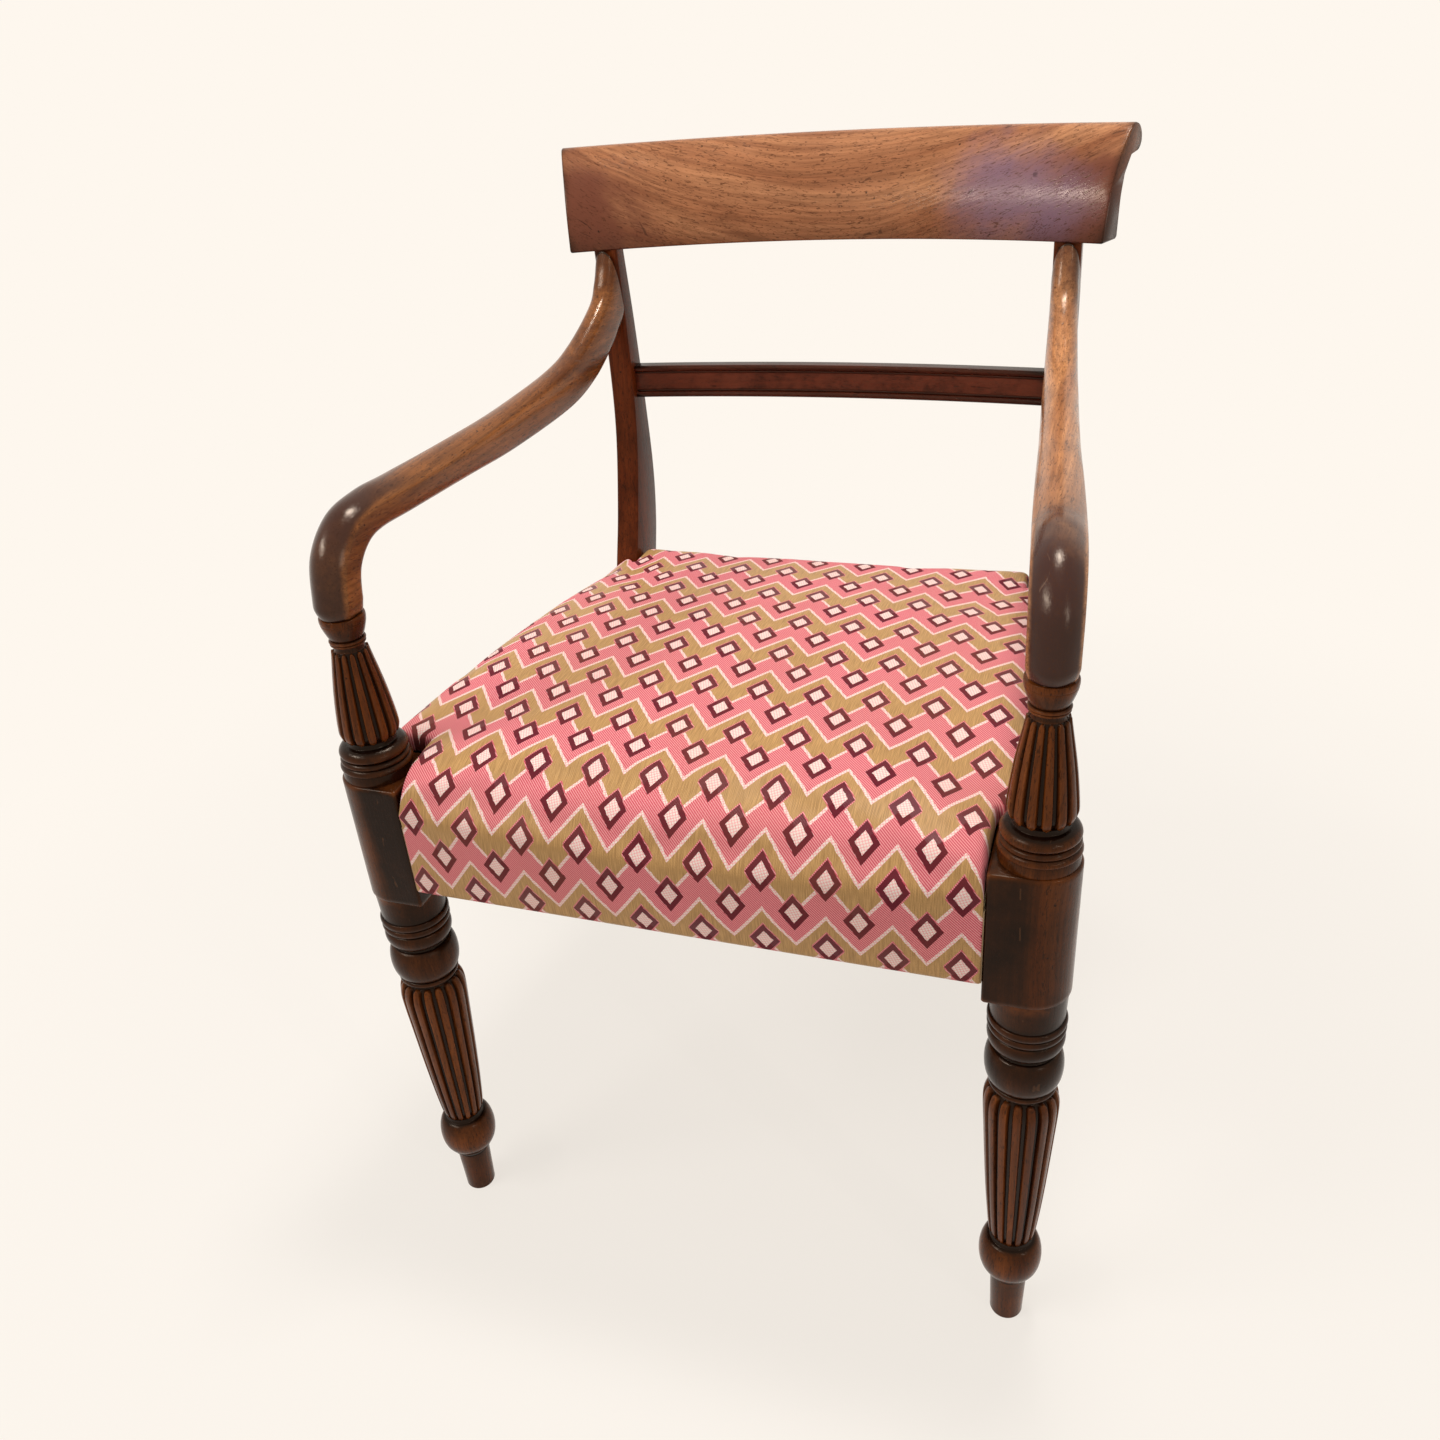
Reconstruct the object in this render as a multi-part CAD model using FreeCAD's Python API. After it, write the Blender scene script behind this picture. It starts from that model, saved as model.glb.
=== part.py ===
import FreeCAD, Part
import math
import os

# A carver dining chair in mahogany: turned and reeded front posts, sabre rear uprights, scroll
# arms, a bowed crest rail and mid rail, and a stuff-over seat on a tenoned frame.
# Millimetres, +Z up. The chair faces -Y, and +X is on the right of someone who faces it.
# The origin is on the floor, under the middle of the chair's box.
# Below, "back" is a distance behind the axes of the two front posts.

# Plan of the frame
POST_SPREAD = 500.0          # between the axes of the front posts
STILE_SPREAD = 421.0         # between the middles of the uprights
SEAT_DEPTH = 403.0           # post axes to the front of the uprights, at the seat rails
STILE_WIDTH = 23.0
SIDE_PROUD = 15.5            # side rail outside the post axis, at the post
REAR_RAIL_BACK = 49.0        # back of the rear rail behind the front of the uprights
CREST_BOTTOM = 774.0         # underside of the crest rail above the floor

# Front post, from the floor up. Each turned member has a height, a middle and a top radius.
TOE_RADIUS = 13.0
FOOT_TURNING = (
    (52.0, 13.9, 14.8),      # peg foot
    (6.0, 16.4, 18.0),       # hollow under the bulb
    (37.0, 24.8, 17.0),      # bulb
    (3.0, 16.7, 16.4),       # quirk
)
LEG_REED_HEIGHT = 164.0
LEG_REED_COUNT = 16
LEG_REEDS = (                # share of the height, radius over the reeds
    (0.0, 16.2),
    (0.03, 18.6),
    (0.46, 24.2),
    (0.9, 27.8),
    (1.0, 23.2),
)
COLLAR_RADIUS = 24.4
VASE_TURNING = (
    (8.0, 23.8, 23.2),       # collar
    (33.0, 28.3, 23.0),      # vase
    (3.0, 22.9, 22.8),       # quirk
    (16.0, 27.6, 25.8),      # torus
    (13.0, 28.2, 26.6),      # bead
    (26.0, 27.1, 27.5),      # drum
)
BLOCK_HEIGHT = 110.0
BLOCK_HALF = 28.8            # post axis to the front, back and outer faces of the seat block
BLOCK_INNER = 30.0           # post axis to its inner face
BLOCK_SOFTENING = 1.0        # bevel of its edges
RING_DRUM_RADIUS = 26.8
RING_TURNING = (
    (8.0, 26.6, 26.4),       # drum
    (10.5, 26.6, 23.6),      # bead
    (9.5, 25.6, 19.2),       # torus
    (4.0, 19.0, 18.8),       # quirk
)
BELL_HEIGHT = 74.0
BELL_REED_COUNT = 14
BELL_REEDS = (
    (0.0, 18.2),
    (0.1, 22.7),
    (0.52, 19.6),
    (1.0, 12.8),
)
NECK_RADIUS = 11.8
CUP_TURNING = (
    (4.0, 11.6, 11.6),       # neck
    (5.0, 13.3, 11.6),       # ring
    (18.0, 14.0, 16.4),      # cup
)
SPIGOT_RADIUS = 8.0          # round tenon of the post in the arm
SPIGOT_HEIGHT = 24.0
SLIGHT_BULGE = 0.2           # members that swell less than this are straight
FLAT_HEIGHT = 6.0            # a swelling member is turned in flats of about this height
TURNED_SIDES = 30            # and in this many flats round it
REED_SHARE = 0.62            # part of each pitch that the reed takes
REED_DEPTH = 0.14            # depth of the grooves, as a share of the radius

# Rear upright, seen from the side: distance behind the upright's front at the seat, and height
UPRIGHT_FRONT = ((101, 0), (63, 130), (26, 265), (4, 348), (0, 400), (5, 452), (27, 519), (46, 602), (48, 690))
UPRIGHT_BACK = ((130, 0), (94, 130), (66, 265), (55, 370), (61, 440), (77, 500), (83, 555), (79, 630), (71, 712))
UPRIGHT_TOP_FRONT = 43.0
UPRIGHT_TOP_DEPTH = 20.0
UPRIGHT_BEVEL = 2.0

# Crest rail: radius of its bow at the front of its lower edge, and its section
CREST_RADIUS = 660.0
CREST_HALF_SPAN = 239.0
CREST_THICK = 26.0
CREST_HEIGHT = 85.0
CREST_ROLL_REACH = 61.0      # back of the rolled edge behind the front of the lower edge
CREST_BEVEL = 1.5
CREST_FLATS = 5              # in each curve of its section
CREST_TENON = (12.0, 9.0, 30.0)

# Mid rail
MID_RAIL_BOTTOM = 631.0
MID_RAIL_HEIGHT = 31.0
MID_RAIL_THICK = 15.0
MID_RAIL_SAG = 12.0          # depth of its bow
MID_RAIL_SETBACK = 14.0      # its front behind the front of the uprights, at its ends
MID_BEAD = 6.8               # height of the beads along its edges
MID_REED = 2.8               # height of the fine reeds beside them
MID_SINK = 3.0               # the flat between them lies this far back
MID_TENON = (15.0, 7.0, 22.0)

# Arm
ARM_BEND_RADIUS = 49.5       # centre line of the bend over the post
ARM_END_DROP = 13.0          # straight end below the bend
ARM_THICK = 30.0
ARM_WIDTH = 34.0
ARM_END_WIDTH = 32.5
ARM_BEVEL = 3.5              # between its sides and its crowned top
ARM_CROWN_SLOPE = 27.0       # degrees, where the crown meets that bevel
ARM_CROWN_FLATS = 3
ARM_UNDER_BEVEL = 4.0
# Along the arm: top's distance ahead of the stile, its share of the rise from the post to the
# crest, the same for the underside, and the width
ARM_REAR = (
    (285.0, 0.460, 285.0, 0.278, 32.4),
    (210.0, 0.474, 210.0, 0.274, 29.8),
    (122.0, 0.526, 113.0, 0.308, 28.2),
    (75.0, 0.604, 61.0, 0.382, 26.4),
    (27.0, 0.760, 22.0, 0.494, 24.0),
    (9.0, 0.884, 5.0, 0.560, 23.2),
    (-4.0, 0.992, -9.0, 0.610, 23.0),
)

# Seat rails and their joints
RAIL_BOTTOM_STEP = 18.0      # underside of the rails above the underside of the post blocks
RAIL_HEIGHT = 61.0
RAIL_TENON = (22.0, 9.0, 45.0)
REAR_TENON_LENGTH = 15.0
TENON_ROOM = 0.15            # room round each tenon, and at its end
TENON_ROOT = 2.0             # each tenon starts this far inside its own piece
BRACE_REACH = 68.0           # corner blocks, along the front and rear rails
BRACE_SIDE = 58.0            # corner blocks, along the side rails
BRACE_HEIGHT = 40.0

# Fasteners
SCREW_RADIUS = 2.1
SCREW_HEAD_RADIUS = 4.2
SCREW_HEAD_HEIGHT = 2.6
BRACE_SCREW_LENGTH = 36.0
BRACE_SCREW_GRIP = 18.0      # of that, in the rail
ARM_SCREW_LENGTH = 30.0
ARM_SCREW_DROPS = (40.0, 60.0)   # below the crest
PLUG_RADIUS = 4.8
FASTENER_SIDES = 8           # screws and plugs have flats in place of a curve

# Seat
COVER_THICK = 1.5
COVER_ROOM = 0.4             # between the cover and the wood it is cut round
COVER_LIP = 16.0             # turned under the rails
FRONT_ROLL = 34.0
FRONT_ROLL_RISE = 12.0       # start of the roll above the rails
SIDE_ROLL = 30.0
SIDE_ROLL_RISE = 16.0        # at the posts
SIDE_ROLL_FALL = 10.0        # lower by this at the uprights
REAR_ROLL = 32.0
REAR_ROLL_RISE = 12.0
CROWN_SLOPE = 4.0            # degrees, where the crown meets the rolls
ROLL_FLATS = 6               # in each roll
CROWN_FLATS = 8
STUFFING_ROOM = 0.3
WEB_WIDTH = 50.0
WEB_THICK = 1.8
WEB_ROOM = 0.1               # between webs where they cross
WEB_LENGTHWAYS = 4
WEB_CROSSWAYS = 4
WEB_INSET = 4.0              # end of each web, in from the outside of its rail
HESSIAN_THICK = 0.8
HESSIAN_INSET = 3.0


def height_of(turning):
    return sum(member[0] for member in turning)


# Heights that follow from the post's members
leg_reed_z = height_of(FOOT_TURNING)
vase_z = leg_reed_z + LEG_REED_HEIGHT
block_z = vase_z + height_of(VASE_TURNING)
ring_z = block_z + BLOCK_HEIGHT
bell_z = ring_z + height_of(RING_TURNING)
cup_z = bell_z + BELL_HEIGHT
post_top = cup_z + height_of(CUP_TURNING)
rail_bottom = block_z + RAIL_BOTTOM_STEP
rail_top = rail_bottom + RAIL_HEIGHT
cover_bottom = rail_bottom - COVER_THICK

# Plan positions that follow
post_x = POST_SPREAD / 2
stile_inner = (STILE_SPREAD - STILE_WIDTH) / 2
stile_outer = stile_inner + STILE_WIDTH
rail_thick = STILE_WIDTH
block_inner_x = post_x - BLOCK_INNER
cover_front = BLOCK_HALF + COVER_THICK + COVER_ROOM
front_rail_front = -(cover_front - COVER_THICK)
rear_rail_back = SEAT_DEPTH + REAR_RAIL_BACK
cover_back = rear_rail_back + COVER_THICK

# The crest sits centred on the tops of the uprights, which places the axis of its bow
stile_top_back = SEAT_DEPTH + UPRIGHT_TOP_FRONT + UPRIGHT_TOP_DEPTH / 2
crest_middle = CREST_RADIUS + CREST_THICK / 2
crest_axis = stile_top_back - math.sqrt(crest_middle ** 2 - (STILE_SPREAD / 2) ** 2)
chair_back = crest_axis + CREST_RADIUS + CREST_ROLL_REACH
post_y = (cover_front - chair_back) / 2


def point(x, back, z):
    return FreeCAD.Vector(x, post_y + back, z)


def line(a, b):
    return Part.LineSegment(a, b).toShape()


def arc(a, middle, b):
    return Part.Arc(a, middle, b).toShape()


def curve(points):
    spline = Part.BSplineCurve()
    spline.interpolate(points)
    return spline.toShape()


def round_corners(radius, z, sides):
    turns = [2 * math.pi * i / sides for i in range(sides)]
    return [FreeCAD.Vector(radius * math.cos(a), radius * math.sin(a), z) for a in turns]


def faceted(rings):
    """A solid with flat faces between rings of corners, which follow one another along it."""
    faces = [Part.Face(Part.makePolygon(ring + ring[:1])) for ring in (rings[0], rings[-1])]
    for low, high in zip(rings, rings[1:]):
        for i in range(len(low)):
            corners = [low[i - 1], low[i], high[i], high[i - 1]]
            faces.append(Part.Face(Part.makePolygon(corners + corners[:1])))
    return Part.Solid(Part.Shell(faces))


def flats(a, middle, b, count):
    """Corners along an arc through three points, which this many flats stand for."""
    return arc(a, middle, b).discretize(count + 1)


def lines_through(points):
    return [line(a, b) for a, b in zip(points, points[1:])]


def solid_between(edges, push):
    return Part.Face(Part.Wire(edges)).extrude(push)


def plan_prism(corners, z0, z1):
    """An upright prism on a plan outline of (x, back) corners."""
    outline = Part.makePolygon([point(x, back, z0) for x, back in corners + corners[:1]])
    return Part.Face(outline).extrude(FreeCAD.Vector(0, 0, z1 - z0))


def block_between(x0, x1, back0, back1, z0, z1):
    return Part.makeBox(x1 - x0, back1 - back0, z1 - z0, point(x0, back0, z0))


def across(shape):
    """The same piece on the other side of the chair."""
    return shape.mirror(FreeCAD.Vector(0, 0, 0), FreeCAD.Vector(1, 0, 0))


def both_sides(shapes):
    return shapes + [across(shape) for shape in shapes]


# Turned front posts

def turned(members, z, radius):
    """A stack of turned members, which starts at this height and radius."""
    profile = [FreeCAD.Vector(radius, 0, z)]
    for height, middle_radius, top_radius in members:
        at = profile[-1]
        middle = FreeCAD.Vector(middle_radius, 0, at.z + height / 2)
        top = FreeCAD.Vector(top_radius, 0, at.z + height)
        if abs(middle_radius - (at.x + top_radius) / 2) > SLIGHT_BULGE:
            profile += flats(at, middle, top, max(2, round(height / FLAT_HEIGHT)))[1:]
        else:
            profile.append(top)
    return faceted([round_corners(place.x, place.z, TURNED_SIDES) for place in profile])


def reed_ring(z, radius, count):
    """One level of a reeded shaft: a flat-topped reed and a sharp groove in every pitch."""
    pitch = 2 * math.pi / count
    half_reed = REED_SHARE * pitch / 2

    def at(r, angle):
        return FreeCAD.Vector(r * math.cos(angle), r * math.sin(angle), z)

    corners = []
    for i in range(count):
        middle = i * pitch
        corners.append(at(radius, middle - half_reed))
        corners.append(at(radius, middle + half_reed))
        corners.append(at(radius * (1 - REED_DEPTH), middle + pitch / 2))
    return corners


def reeded(levels, z, height, count):
    """A reeded shaft whose reeds run out at both ends."""
    return faceted([reed_ring(z + share * height, radius, count) for share, radius in levels])


def seat_block():
    """Square on the inner half, rounded on the outer half."""
    half = BLOCK_HALF
    front = FreeCAD.Vector(0, -half, block_z)
    back = FreeCAD.Vector(0, half, block_z)
    inner_front = FreeCAD.Vector(-BLOCK_INNER, -half, block_z)
    inner_back = FreeCAD.Vector(-BLOCK_INNER, half, block_z)
    edges = [
        line(inner_front, front),
        arc(front, FreeCAD.Vector(half, 0, block_z), back),
        line(back, inner_back),
        line(inner_back, inner_front),
    ]
    block = solid_between(edges, FreeCAD.Vector(0, 0, BLOCK_HEIGHT))
    sharp = [e for e in block.Edges if abs(e.tangentAt(e.FirstParameter).z) < 0.5 or e.CenterOfMass.x < -1]
    return block.makeChamfer(BLOCK_SOFTENING, sharp)


def front_post():
    """The right post, with its mortises for the front rail and the side rail."""
    members = [turned(FOOT_TURNING, 0, TOE_RADIUS)]
    members.append(reeded(LEG_REEDS, leg_reed_z, LEG_REED_HEIGHT, LEG_REED_COUNT))
    members.append(turned(VASE_TURNING, vase_z, COLLAR_RADIUS))
    members.append(seat_block())
    members.append(turned(RING_TURNING, ring_z, RING_DRUM_RADIUS))
    members.append(reeded(BELL_REEDS, bell_z, BELL_HEIGHT, BELL_REED_COUNT))
    members.append(turned(CUP_TURNING, cup_z, NECK_RADIUS))
    members.append(Part.makeCylinder(SPIGOT_RADIUS, SPIGOT_HEIGHT, FreeCAD.Vector(0, 0, post_top)))
    post = members[0].multiFuse(members[1:]).removeSplitter()
    post.translate(point(post_x, 0, 0))
    return post.cut(front_tenon(TENON_ROOM)).cut(side_front_tenon(TENON_ROOM))


# Seat rails. The same function gives a tenon and, with room round it, its mortise.

tenon_z = rail_bottom + (RAIL_HEIGHT - RAIL_TENON[2]) / 2
tenon_top = tenon_z + RAIL_TENON[2]
tenon_margin = (rail_thick - RAIL_TENON[1]) / 2


def side_x(back, inset):
    """Line of the side rail's outer face, or of one parallel to it, at a distance back."""
    share = (back - BLOCK_HALF) / (SEAT_DEPTH - BLOCK_HALF)
    front_x = post_x + SIDE_PROUD
    return front_x + share * (stile_outer - front_x) - inset


def side_strip(back0, back1, inset0, inset1, z0, z1):
    corners = [
        (side_x(back0, inset0), back0),
        (side_x(back1, inset0), back1),
        (side_x(back1, inset1), back1),
        (side_x(back0, inset1), back0),
    ]
    return plan_prism(corners, z0, z1)


def front_tenon(room):
    back = front_rail_front + tenon_margin
    return block_between(block_inner_x - TENON_ROOT, block_inner_x + RAIL_TENON[0] + room, back - room,
                         back + RAIL_TENON[1] + room, tenon_z - room, tenon_top + room)


def side_front_tenon(room):
    return side_strip(BLOCK_HALF - RAIL_TENON[0] - room, BLOCK_HALF + TENON_ROOT, tenon_margin - room,
                      tenon_margin + RAIL_TENON[1] + room, tenon_z - room, tenon_top + room)


def side_rear_tenon(room):
    return side_strip(SEAT_DEPTH - TENON_ROOT, SEAT_DEPTH + RAIL_TENON[0] + room, tenon_margin - room,
                      tenon_margin + RAIL_TENON[1] + room, tenon_z - room, tenon_top + room)


def rear_tenon(room):
    back = rear_rail_back - rail_thick + tenon_margin
    return block_between(stile_inner - TENON_ROOT, stile_inner + REAR_TENON_LENGTH + room, back - room,
                         back + RAIL_TENON[1] + room, tenon_z - room, tenon_top + room)


def front_seat_rail():
    rail = block_between(-block_inner_x, block_inner_x, front_rail_front,
                         front_rail_front + rail_thick, rail_bottom, rail_top)
    return rail.multiFuse(both_sides([front_tenon(0)])).removeSplitter()


def rear_seat_rail():
    rail = block_between(-stile_inner, stile_inner, rear_rail_back - rail_thick, rear_rail_back,
                         rail_bottom, rail_top)
    return rail.multiFuse(both_sides([rear_tenon(0)])).removeSplitter()


def side_seat_rail(upright_body):
    """The right rail, scribed to the front of the upright."""
    rail = side_strip(BLOCK_HALF, SEAT_DEPTH + REAR_RAIL_BACK / 4, 0, rail_thick, rail_bottom, rail_top)
    beside_upright = block_between(0, stile_inner, SEAT_DEPTH, rear_rail_back, rail_bottom, rail_top)
    rail = rail.cut(upright_body).cut(beside_upright)
    rail = max(rail.Solids, key=lambda solid: solid.Volume)
    return rail.multiFuse([side_front_tenon(0), side_rear_tenon(0)]).removeSplitter()


# Rear uprights

def upright_edge(outline, top_back):
    points = [point(stile_inner, SEAT_DEPTH + back, z) for back, z in outline]
    points.append(point(stile_inner, SEAT_DEPTH + top_back, CREST_BOTTOM))
    return curve(points)


def crest_tenon(room):
    """Stub on top of the right upright, which enters the crest rail."""
    width, depth, height = CREST_TENON
    middle_x = STILE_SPREAD / 2
    return block_between(middle_x - width / 2 - room, middle_x + width / 2 + room,
                         stile_top_back - depth / 2 - room, stile_top_back + depth / 2 + room,
                         CREST_BOTTOM - TENON_ROOT, CREST_BOTTOM + height + room)


def mid_tenon(room):
    length, thick, height = MID_TENON
    front = mid_rail_front + (MID_RAIL_THICK - thick) / 2
    z = MID_RAIL_BOTTOM + (MID_RAIL_HEIGHT - height) / 2
    return block_between(stile_inner - TENON_ROOT, stile_inner + length + room, front - room,
                         front + thick + room, z - room, z + height + room)


def upright_body():
    """The right upright before its joints are cut: stile and sabre leg in one."""
    front = upright_edge(UPRIGHT_FRONT, UPRIGHT_TOP_FRONT)
    rear = upright_edge(UPRIGHT_BACK, UPRIGHT_TOP_FRONT + UPRIGHT_TOP_DEPTH)
    foot = line(front.Vertexes[0].Point, rear.Vertexes[0].Point)
    top = line(front.Vertexes[1].Point, rear.Vertexes[1].Point)
    body = solid_between([front, top, rear, foot], FreeCAD.Vector(STILE_WIDTH, 0, 0))
    long_edges = [edge for edge in body.Edges if edge.BoundBox.ZLength > CREST_BOTTOM - 1]
    return body.makeChamfer(UPRIGHT_BEVEL, long_edges)


def rear_upright(body, screws):
    upright = body.cut(side_rear_tenon(TENON_ROOM)).cut(rear_tenon(TENON_ROOM))
    upright = upright.cut(mid_tenon(TENON_ROOM))
    upright = upright.fuse(crest_tenon(0)).removeSplitter()
    return upright.cut(screws)


# Crest rail and mid rail

def swung(edges, axis_back, half_angle):
    """Sweeps an upright section round a vertical axis, by the same angle to each side."""
    section = Part.Face(Part.Wire(edges))
    centre = point(0, axis_back, 0)
    section.rotate(centre, FreeCAD.Vector(0, 0, 1), -half_angle)
    return section.revolve(centre, FreeCAD.Vector(0, 0, 1), 2 * half_angle)


def crest_rail():
    """Hollow front, rolled top edge, and sockets for the uprights."""
    def at(back, up):
        return point(0, crest_axis + CREST_RADIUS + back, CREST_BOTTOM + up)

    reach = CREST_ROLL_REACH
    top = CREST_HEIGHT
    thick = CREST_THICK
    toe = at(CREST_BEVEL, 0)
    foot = at(0, CREST_BEVEL)
    front_low = at(0.04 * reach, 0.20 * top)
    front_top = at(0.64 * reach, 0.965 * top)
    nose = at(reach, 0.87 * top)
    under_roll = at(0.86 * reach, 0.765 * top)
    throat = at(0.71 * reach, 0.75 * top)
    rear_low = at(1.05 * thick, 0.32 * top)
    heel = at(thick, CREST_BEVEL)
    heel_under = at(thick - CREST_BEVEL, 0)
    outline = [toe, foot]
    outline += flats(front_low, at(0.285 * reach, 0.655 * top), front_top, CREST_FLATS)
    outline += flats(front_top, at(0.86 * reach, top), nose, CREST_FLATS)[1:]
    outline += flats(nose, at(0.965 * reach, 0.795 * top), under_roll, CREST_FLATS // 2)[1:]
    outline += flats(throat, at(0.555 * reach, 0.59 * top), rear_low, CREST_FLATS)
    outline += [heel, heel_under, toe]
    half_angle = math.degrees(math.asin(CREST_HALF_SPAN / CREST_RADIUS))
    rail = swung(lines_through(outline), crest_axis, half_angle)
    return rail.cut(crest_tenon(TENON_ROOM)).cut(across(crest_tenon(TENON_ROOM)))


mid_rail_front = SEAT_DEPTH + UPRIGHT_TOP_FRONT + MID_RAIL_SETBACK


def mid_rail():
    """Bowed rail with a bead and a fine reed along each edge of its front."""
    radius = (stile_inner ** 2 + MID_RAIL_SAG ** 2) / (2 * MID_RAIL_SAG)
    middle_front = mid_rail_front + MID_RAIL_SAG

    def at(back, up):
        return point(0, middle_front + back, MID_RAIL_BOTTOM + up)

    top = MID_RAIL_HEIGHT
    steps = (0, MID_BEAD, MID_BEAD + MID_REED)
    levels = steps + tuple(top - step for step in reversed(steps))
    corners = [at(MID_SINK, level) for level in levels]
    crowns = [at(0, MID_BEAD / 2), at(MID_SINK / 2, MID_BEAD + MID_REED / 2), None,
              at(MID_SINK / 2, top - MID_BEAD - MID_REED / 2), at(0, top - MID_BEAD / 2)]
    outline = []
    for low, crown in zip(corners, crowns):
        outline += [low, crown] if crown else [low]
    outline += [corners[-1], at(MID_RAIL_THICK, top), at(MID_RAIL_THICK, 0), corners[0]]
    overrun = 1.1
    half_angle = math.degrees(math.asin(overrun * stile_inner / radius))
    rail = swung(lines_through(outline), middle_front - radius, half_angle)
    slot = block_between(-stile_inner, stile_inner, 0, chair_back, MID_RAIL_BOTTOM - 1,
                         MID_RAIL_BOTTOM + MID_RAIL_HEIGHT + 1)
    rail = rail.common(slot)
    return rail.multiFuse(both_sides([mid_tenon(0)])).removeSplitter()


# Arms

def arm_section(top, bottom, width, sideways):
    """A crowned top, bevelled edges, flat sides and a flat underside."""
    up = top.sub(bottom)
    thick = up.Length
    up.normalize()
    half = width / 2
    crown = (half - ARM_BEVEL) * math.tan(math.radians(ARM_CROWN_SLOPE / 2))
    spring = thick - crown
    low = ARM_UNDER_BEVEL

    def at(u, v):
        return bottom + sideways * u + up * v

    corners = [
        at(ARM_BEVEL - half, spring),
        at(-half, spring - ARM_BEVEL),
        at(-half, low),
        at(low - half, 0),
        at(half - low, 0),
        at(half, low),
        at(half, spring - ARM_BEVEL),
        at(half - ARM_BEVEL, spring),
    ]
    crown_arc = arc(corners[-1], at(0, thick), corners[0])
    return Part.makePolygon(corners[:-1] + crown_arc.discretize(ARM_CROWN_FLATS + 1))


def arm_stations():
    """Top and underside of the right arm along its run, with its width at each place."""
    stations = []
    bend_z = post_top + ARM_END_DROP
    outer = ARM_BEND_RADIUS + ARM_THICK / 2
    inner = ARM_BEND_RADIUS - ARM_THICK / 2
    stations.append((ARM_BEND_RADIUS - outer, post_top, ARM_BEND_RADIUS - inner, post_top, ARM_END_WIDTH))
    for degrees in (180, 150, 120, 90):
        turn = math.radians(degrees)
        stations.append((
            ARM_BEND_RADIUS + outer * math.cos(turn), bend_z + outer * math.sin(turn),
            ARM_BEND_RADIUS + inner * math.cos(turn), bend_z + inner * math.sin(turn),
            ARM_END_WIDTH + (ARM_WIDTH - ARM_END_WIDTH) * math.sin(turn)))
    stile_run = math.hypot(SEAT_DEPTH + UPRIGHT_TOP_FRONT, post_x - STILE_SPREAD / 2)
    rise = CREST_BOTTOM - post_top
    level = bend_z + ARM_BEND_RADIUS
    flat_run = (2 * ARM_BEND_RADIUS + stile_run - ARM_REAR[0][0]) / 3
    stations.append((flat_run, level + ARM_THICK / 2, flat_run, level - ARM_THICK / 2, ARM_WIDTH))
    for ahead, share, under_ahead, under_share, width in ARM_REAR:
        stations.append((stile_run - ahead, post_top + share * rise, stile_run - under_ahead,
                         post_top + under_share * rise, width))
    return stations


def arm_body():
    """The right arm, in the upright plane from the post to the stile, before its joints."""
    aim = FreeCAD.Vector(STILE_SPREAD / 2 - post_x, SEAT_DEPTH + UPRIGHT_TOP_FRONT, 0)
    aim.normalize()
    sideways = FreeCAD.Vector(aim.y, -aim.x, 0)

    def at(run, z):
        return point(post_x, 0, z) + aim * run

    sections = [arm_section(at(s, z), at(under_s, under_z), width, sideways)
                for s, z, under_s, under_z, width in arm_stations()]
    return Part.makeLoft(sections, True, False)


def arm(body, upright, screws):
    spigot_hole = Part.makeCylinder(SPIGOT_RADIUS + TENON_ROOM, SPIGOT_HEIGHT + TENON_ROOM + 1,
                                    point(post_x, 0, post_top - 1))
    return body.cut(upright).cut(spigot_hole).cut(screws)


# Fasteners

def aimed(shape, place, direction):
    """Moves a fastener that is drawn along +Z to its place and direction."""
    shape.Placement = FreeCAD.Placement(place, FreeCAD.Rotation(FreeCAD.Vector(0, 0, 1), direction))
    return shape


def screw_form(length, bore):
    """A countersunk screw along +Z, with an open bore behind its head where one is asked for."""
    levels = [(SCREW_HEAD_RADIUS, -bore)] if bore else []
    levels += [
        (SCREW_HEAD_RADIUS, 0),
        (SCREW_RADIUS, SCREW_HEAD_HEIGHT),
        (SCREW_RADIUS, length - SCREW_RADIUS),
        (SCREW_RADIUS / 4, length),
    ]
    return faceted([round_corners(radius, z, FASTENER_SIDES) for radius, z in levels])


def screw(place, direction, length, bore=0):
    """A screw whose head's top is at this place."""
    return aimed(screw_form(length, bore), place, direction)


def arm_screw_places():
    """Heads of the right arm's screws, sunk from the back of the stile."""
    head_back = SEAT_DEPTH + UPRIGHT_TOP_FRONT + UPRIGHT_TOP_DEPTH / 2 + SCREW_HEAD_HEIGHT
    return [point(STILE_SPREAD / 2, head_back, CREST_BOTTOM - drop) for drop in ARM_SCREW_DROPS]


def arm_screw_plug(place, body):
    """Round wooden plug over a screw's head, finished flush with the back of the stile."""
    plug = faceted([round_corners(PLUG_RADIUS, z, FASTENER_SIDES) for z in (0, chair_back)])
    return aimed(plug, place, FreeCAD.Vector(0, 1, 0)).common(body)


# Corner blocks

brace_z = rail_bottom + (RAIL_HEIGHT - BRACE_HEIGHT) / 2
brace_middle = brace_z + BRACE_HEIGHT / 2
front_rail_inside = front_rail_front + rail_thick
rear_rail_inside = rear_rail_back - rail_thick


def front_brace():
    """The right front corner block, notched round the post."""
    side_end = BLOCK_HALF + BRACE_SIDE
    corners = [
        (block_inner_x - BRACE_REACH, front_rail_inside),
        (block_inner_x, front_rail_inside),
        (block_inner_x, BLOCK_HALF),
        (side_x(BLOCK_HALF, rail_thick), BLOCK_HALF),
        (side_x(side_end, rail_thick), side_end),
    ]
    return plan_prism(corners, brace_z, brace_z + BRACE_HEIGHT)


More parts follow.
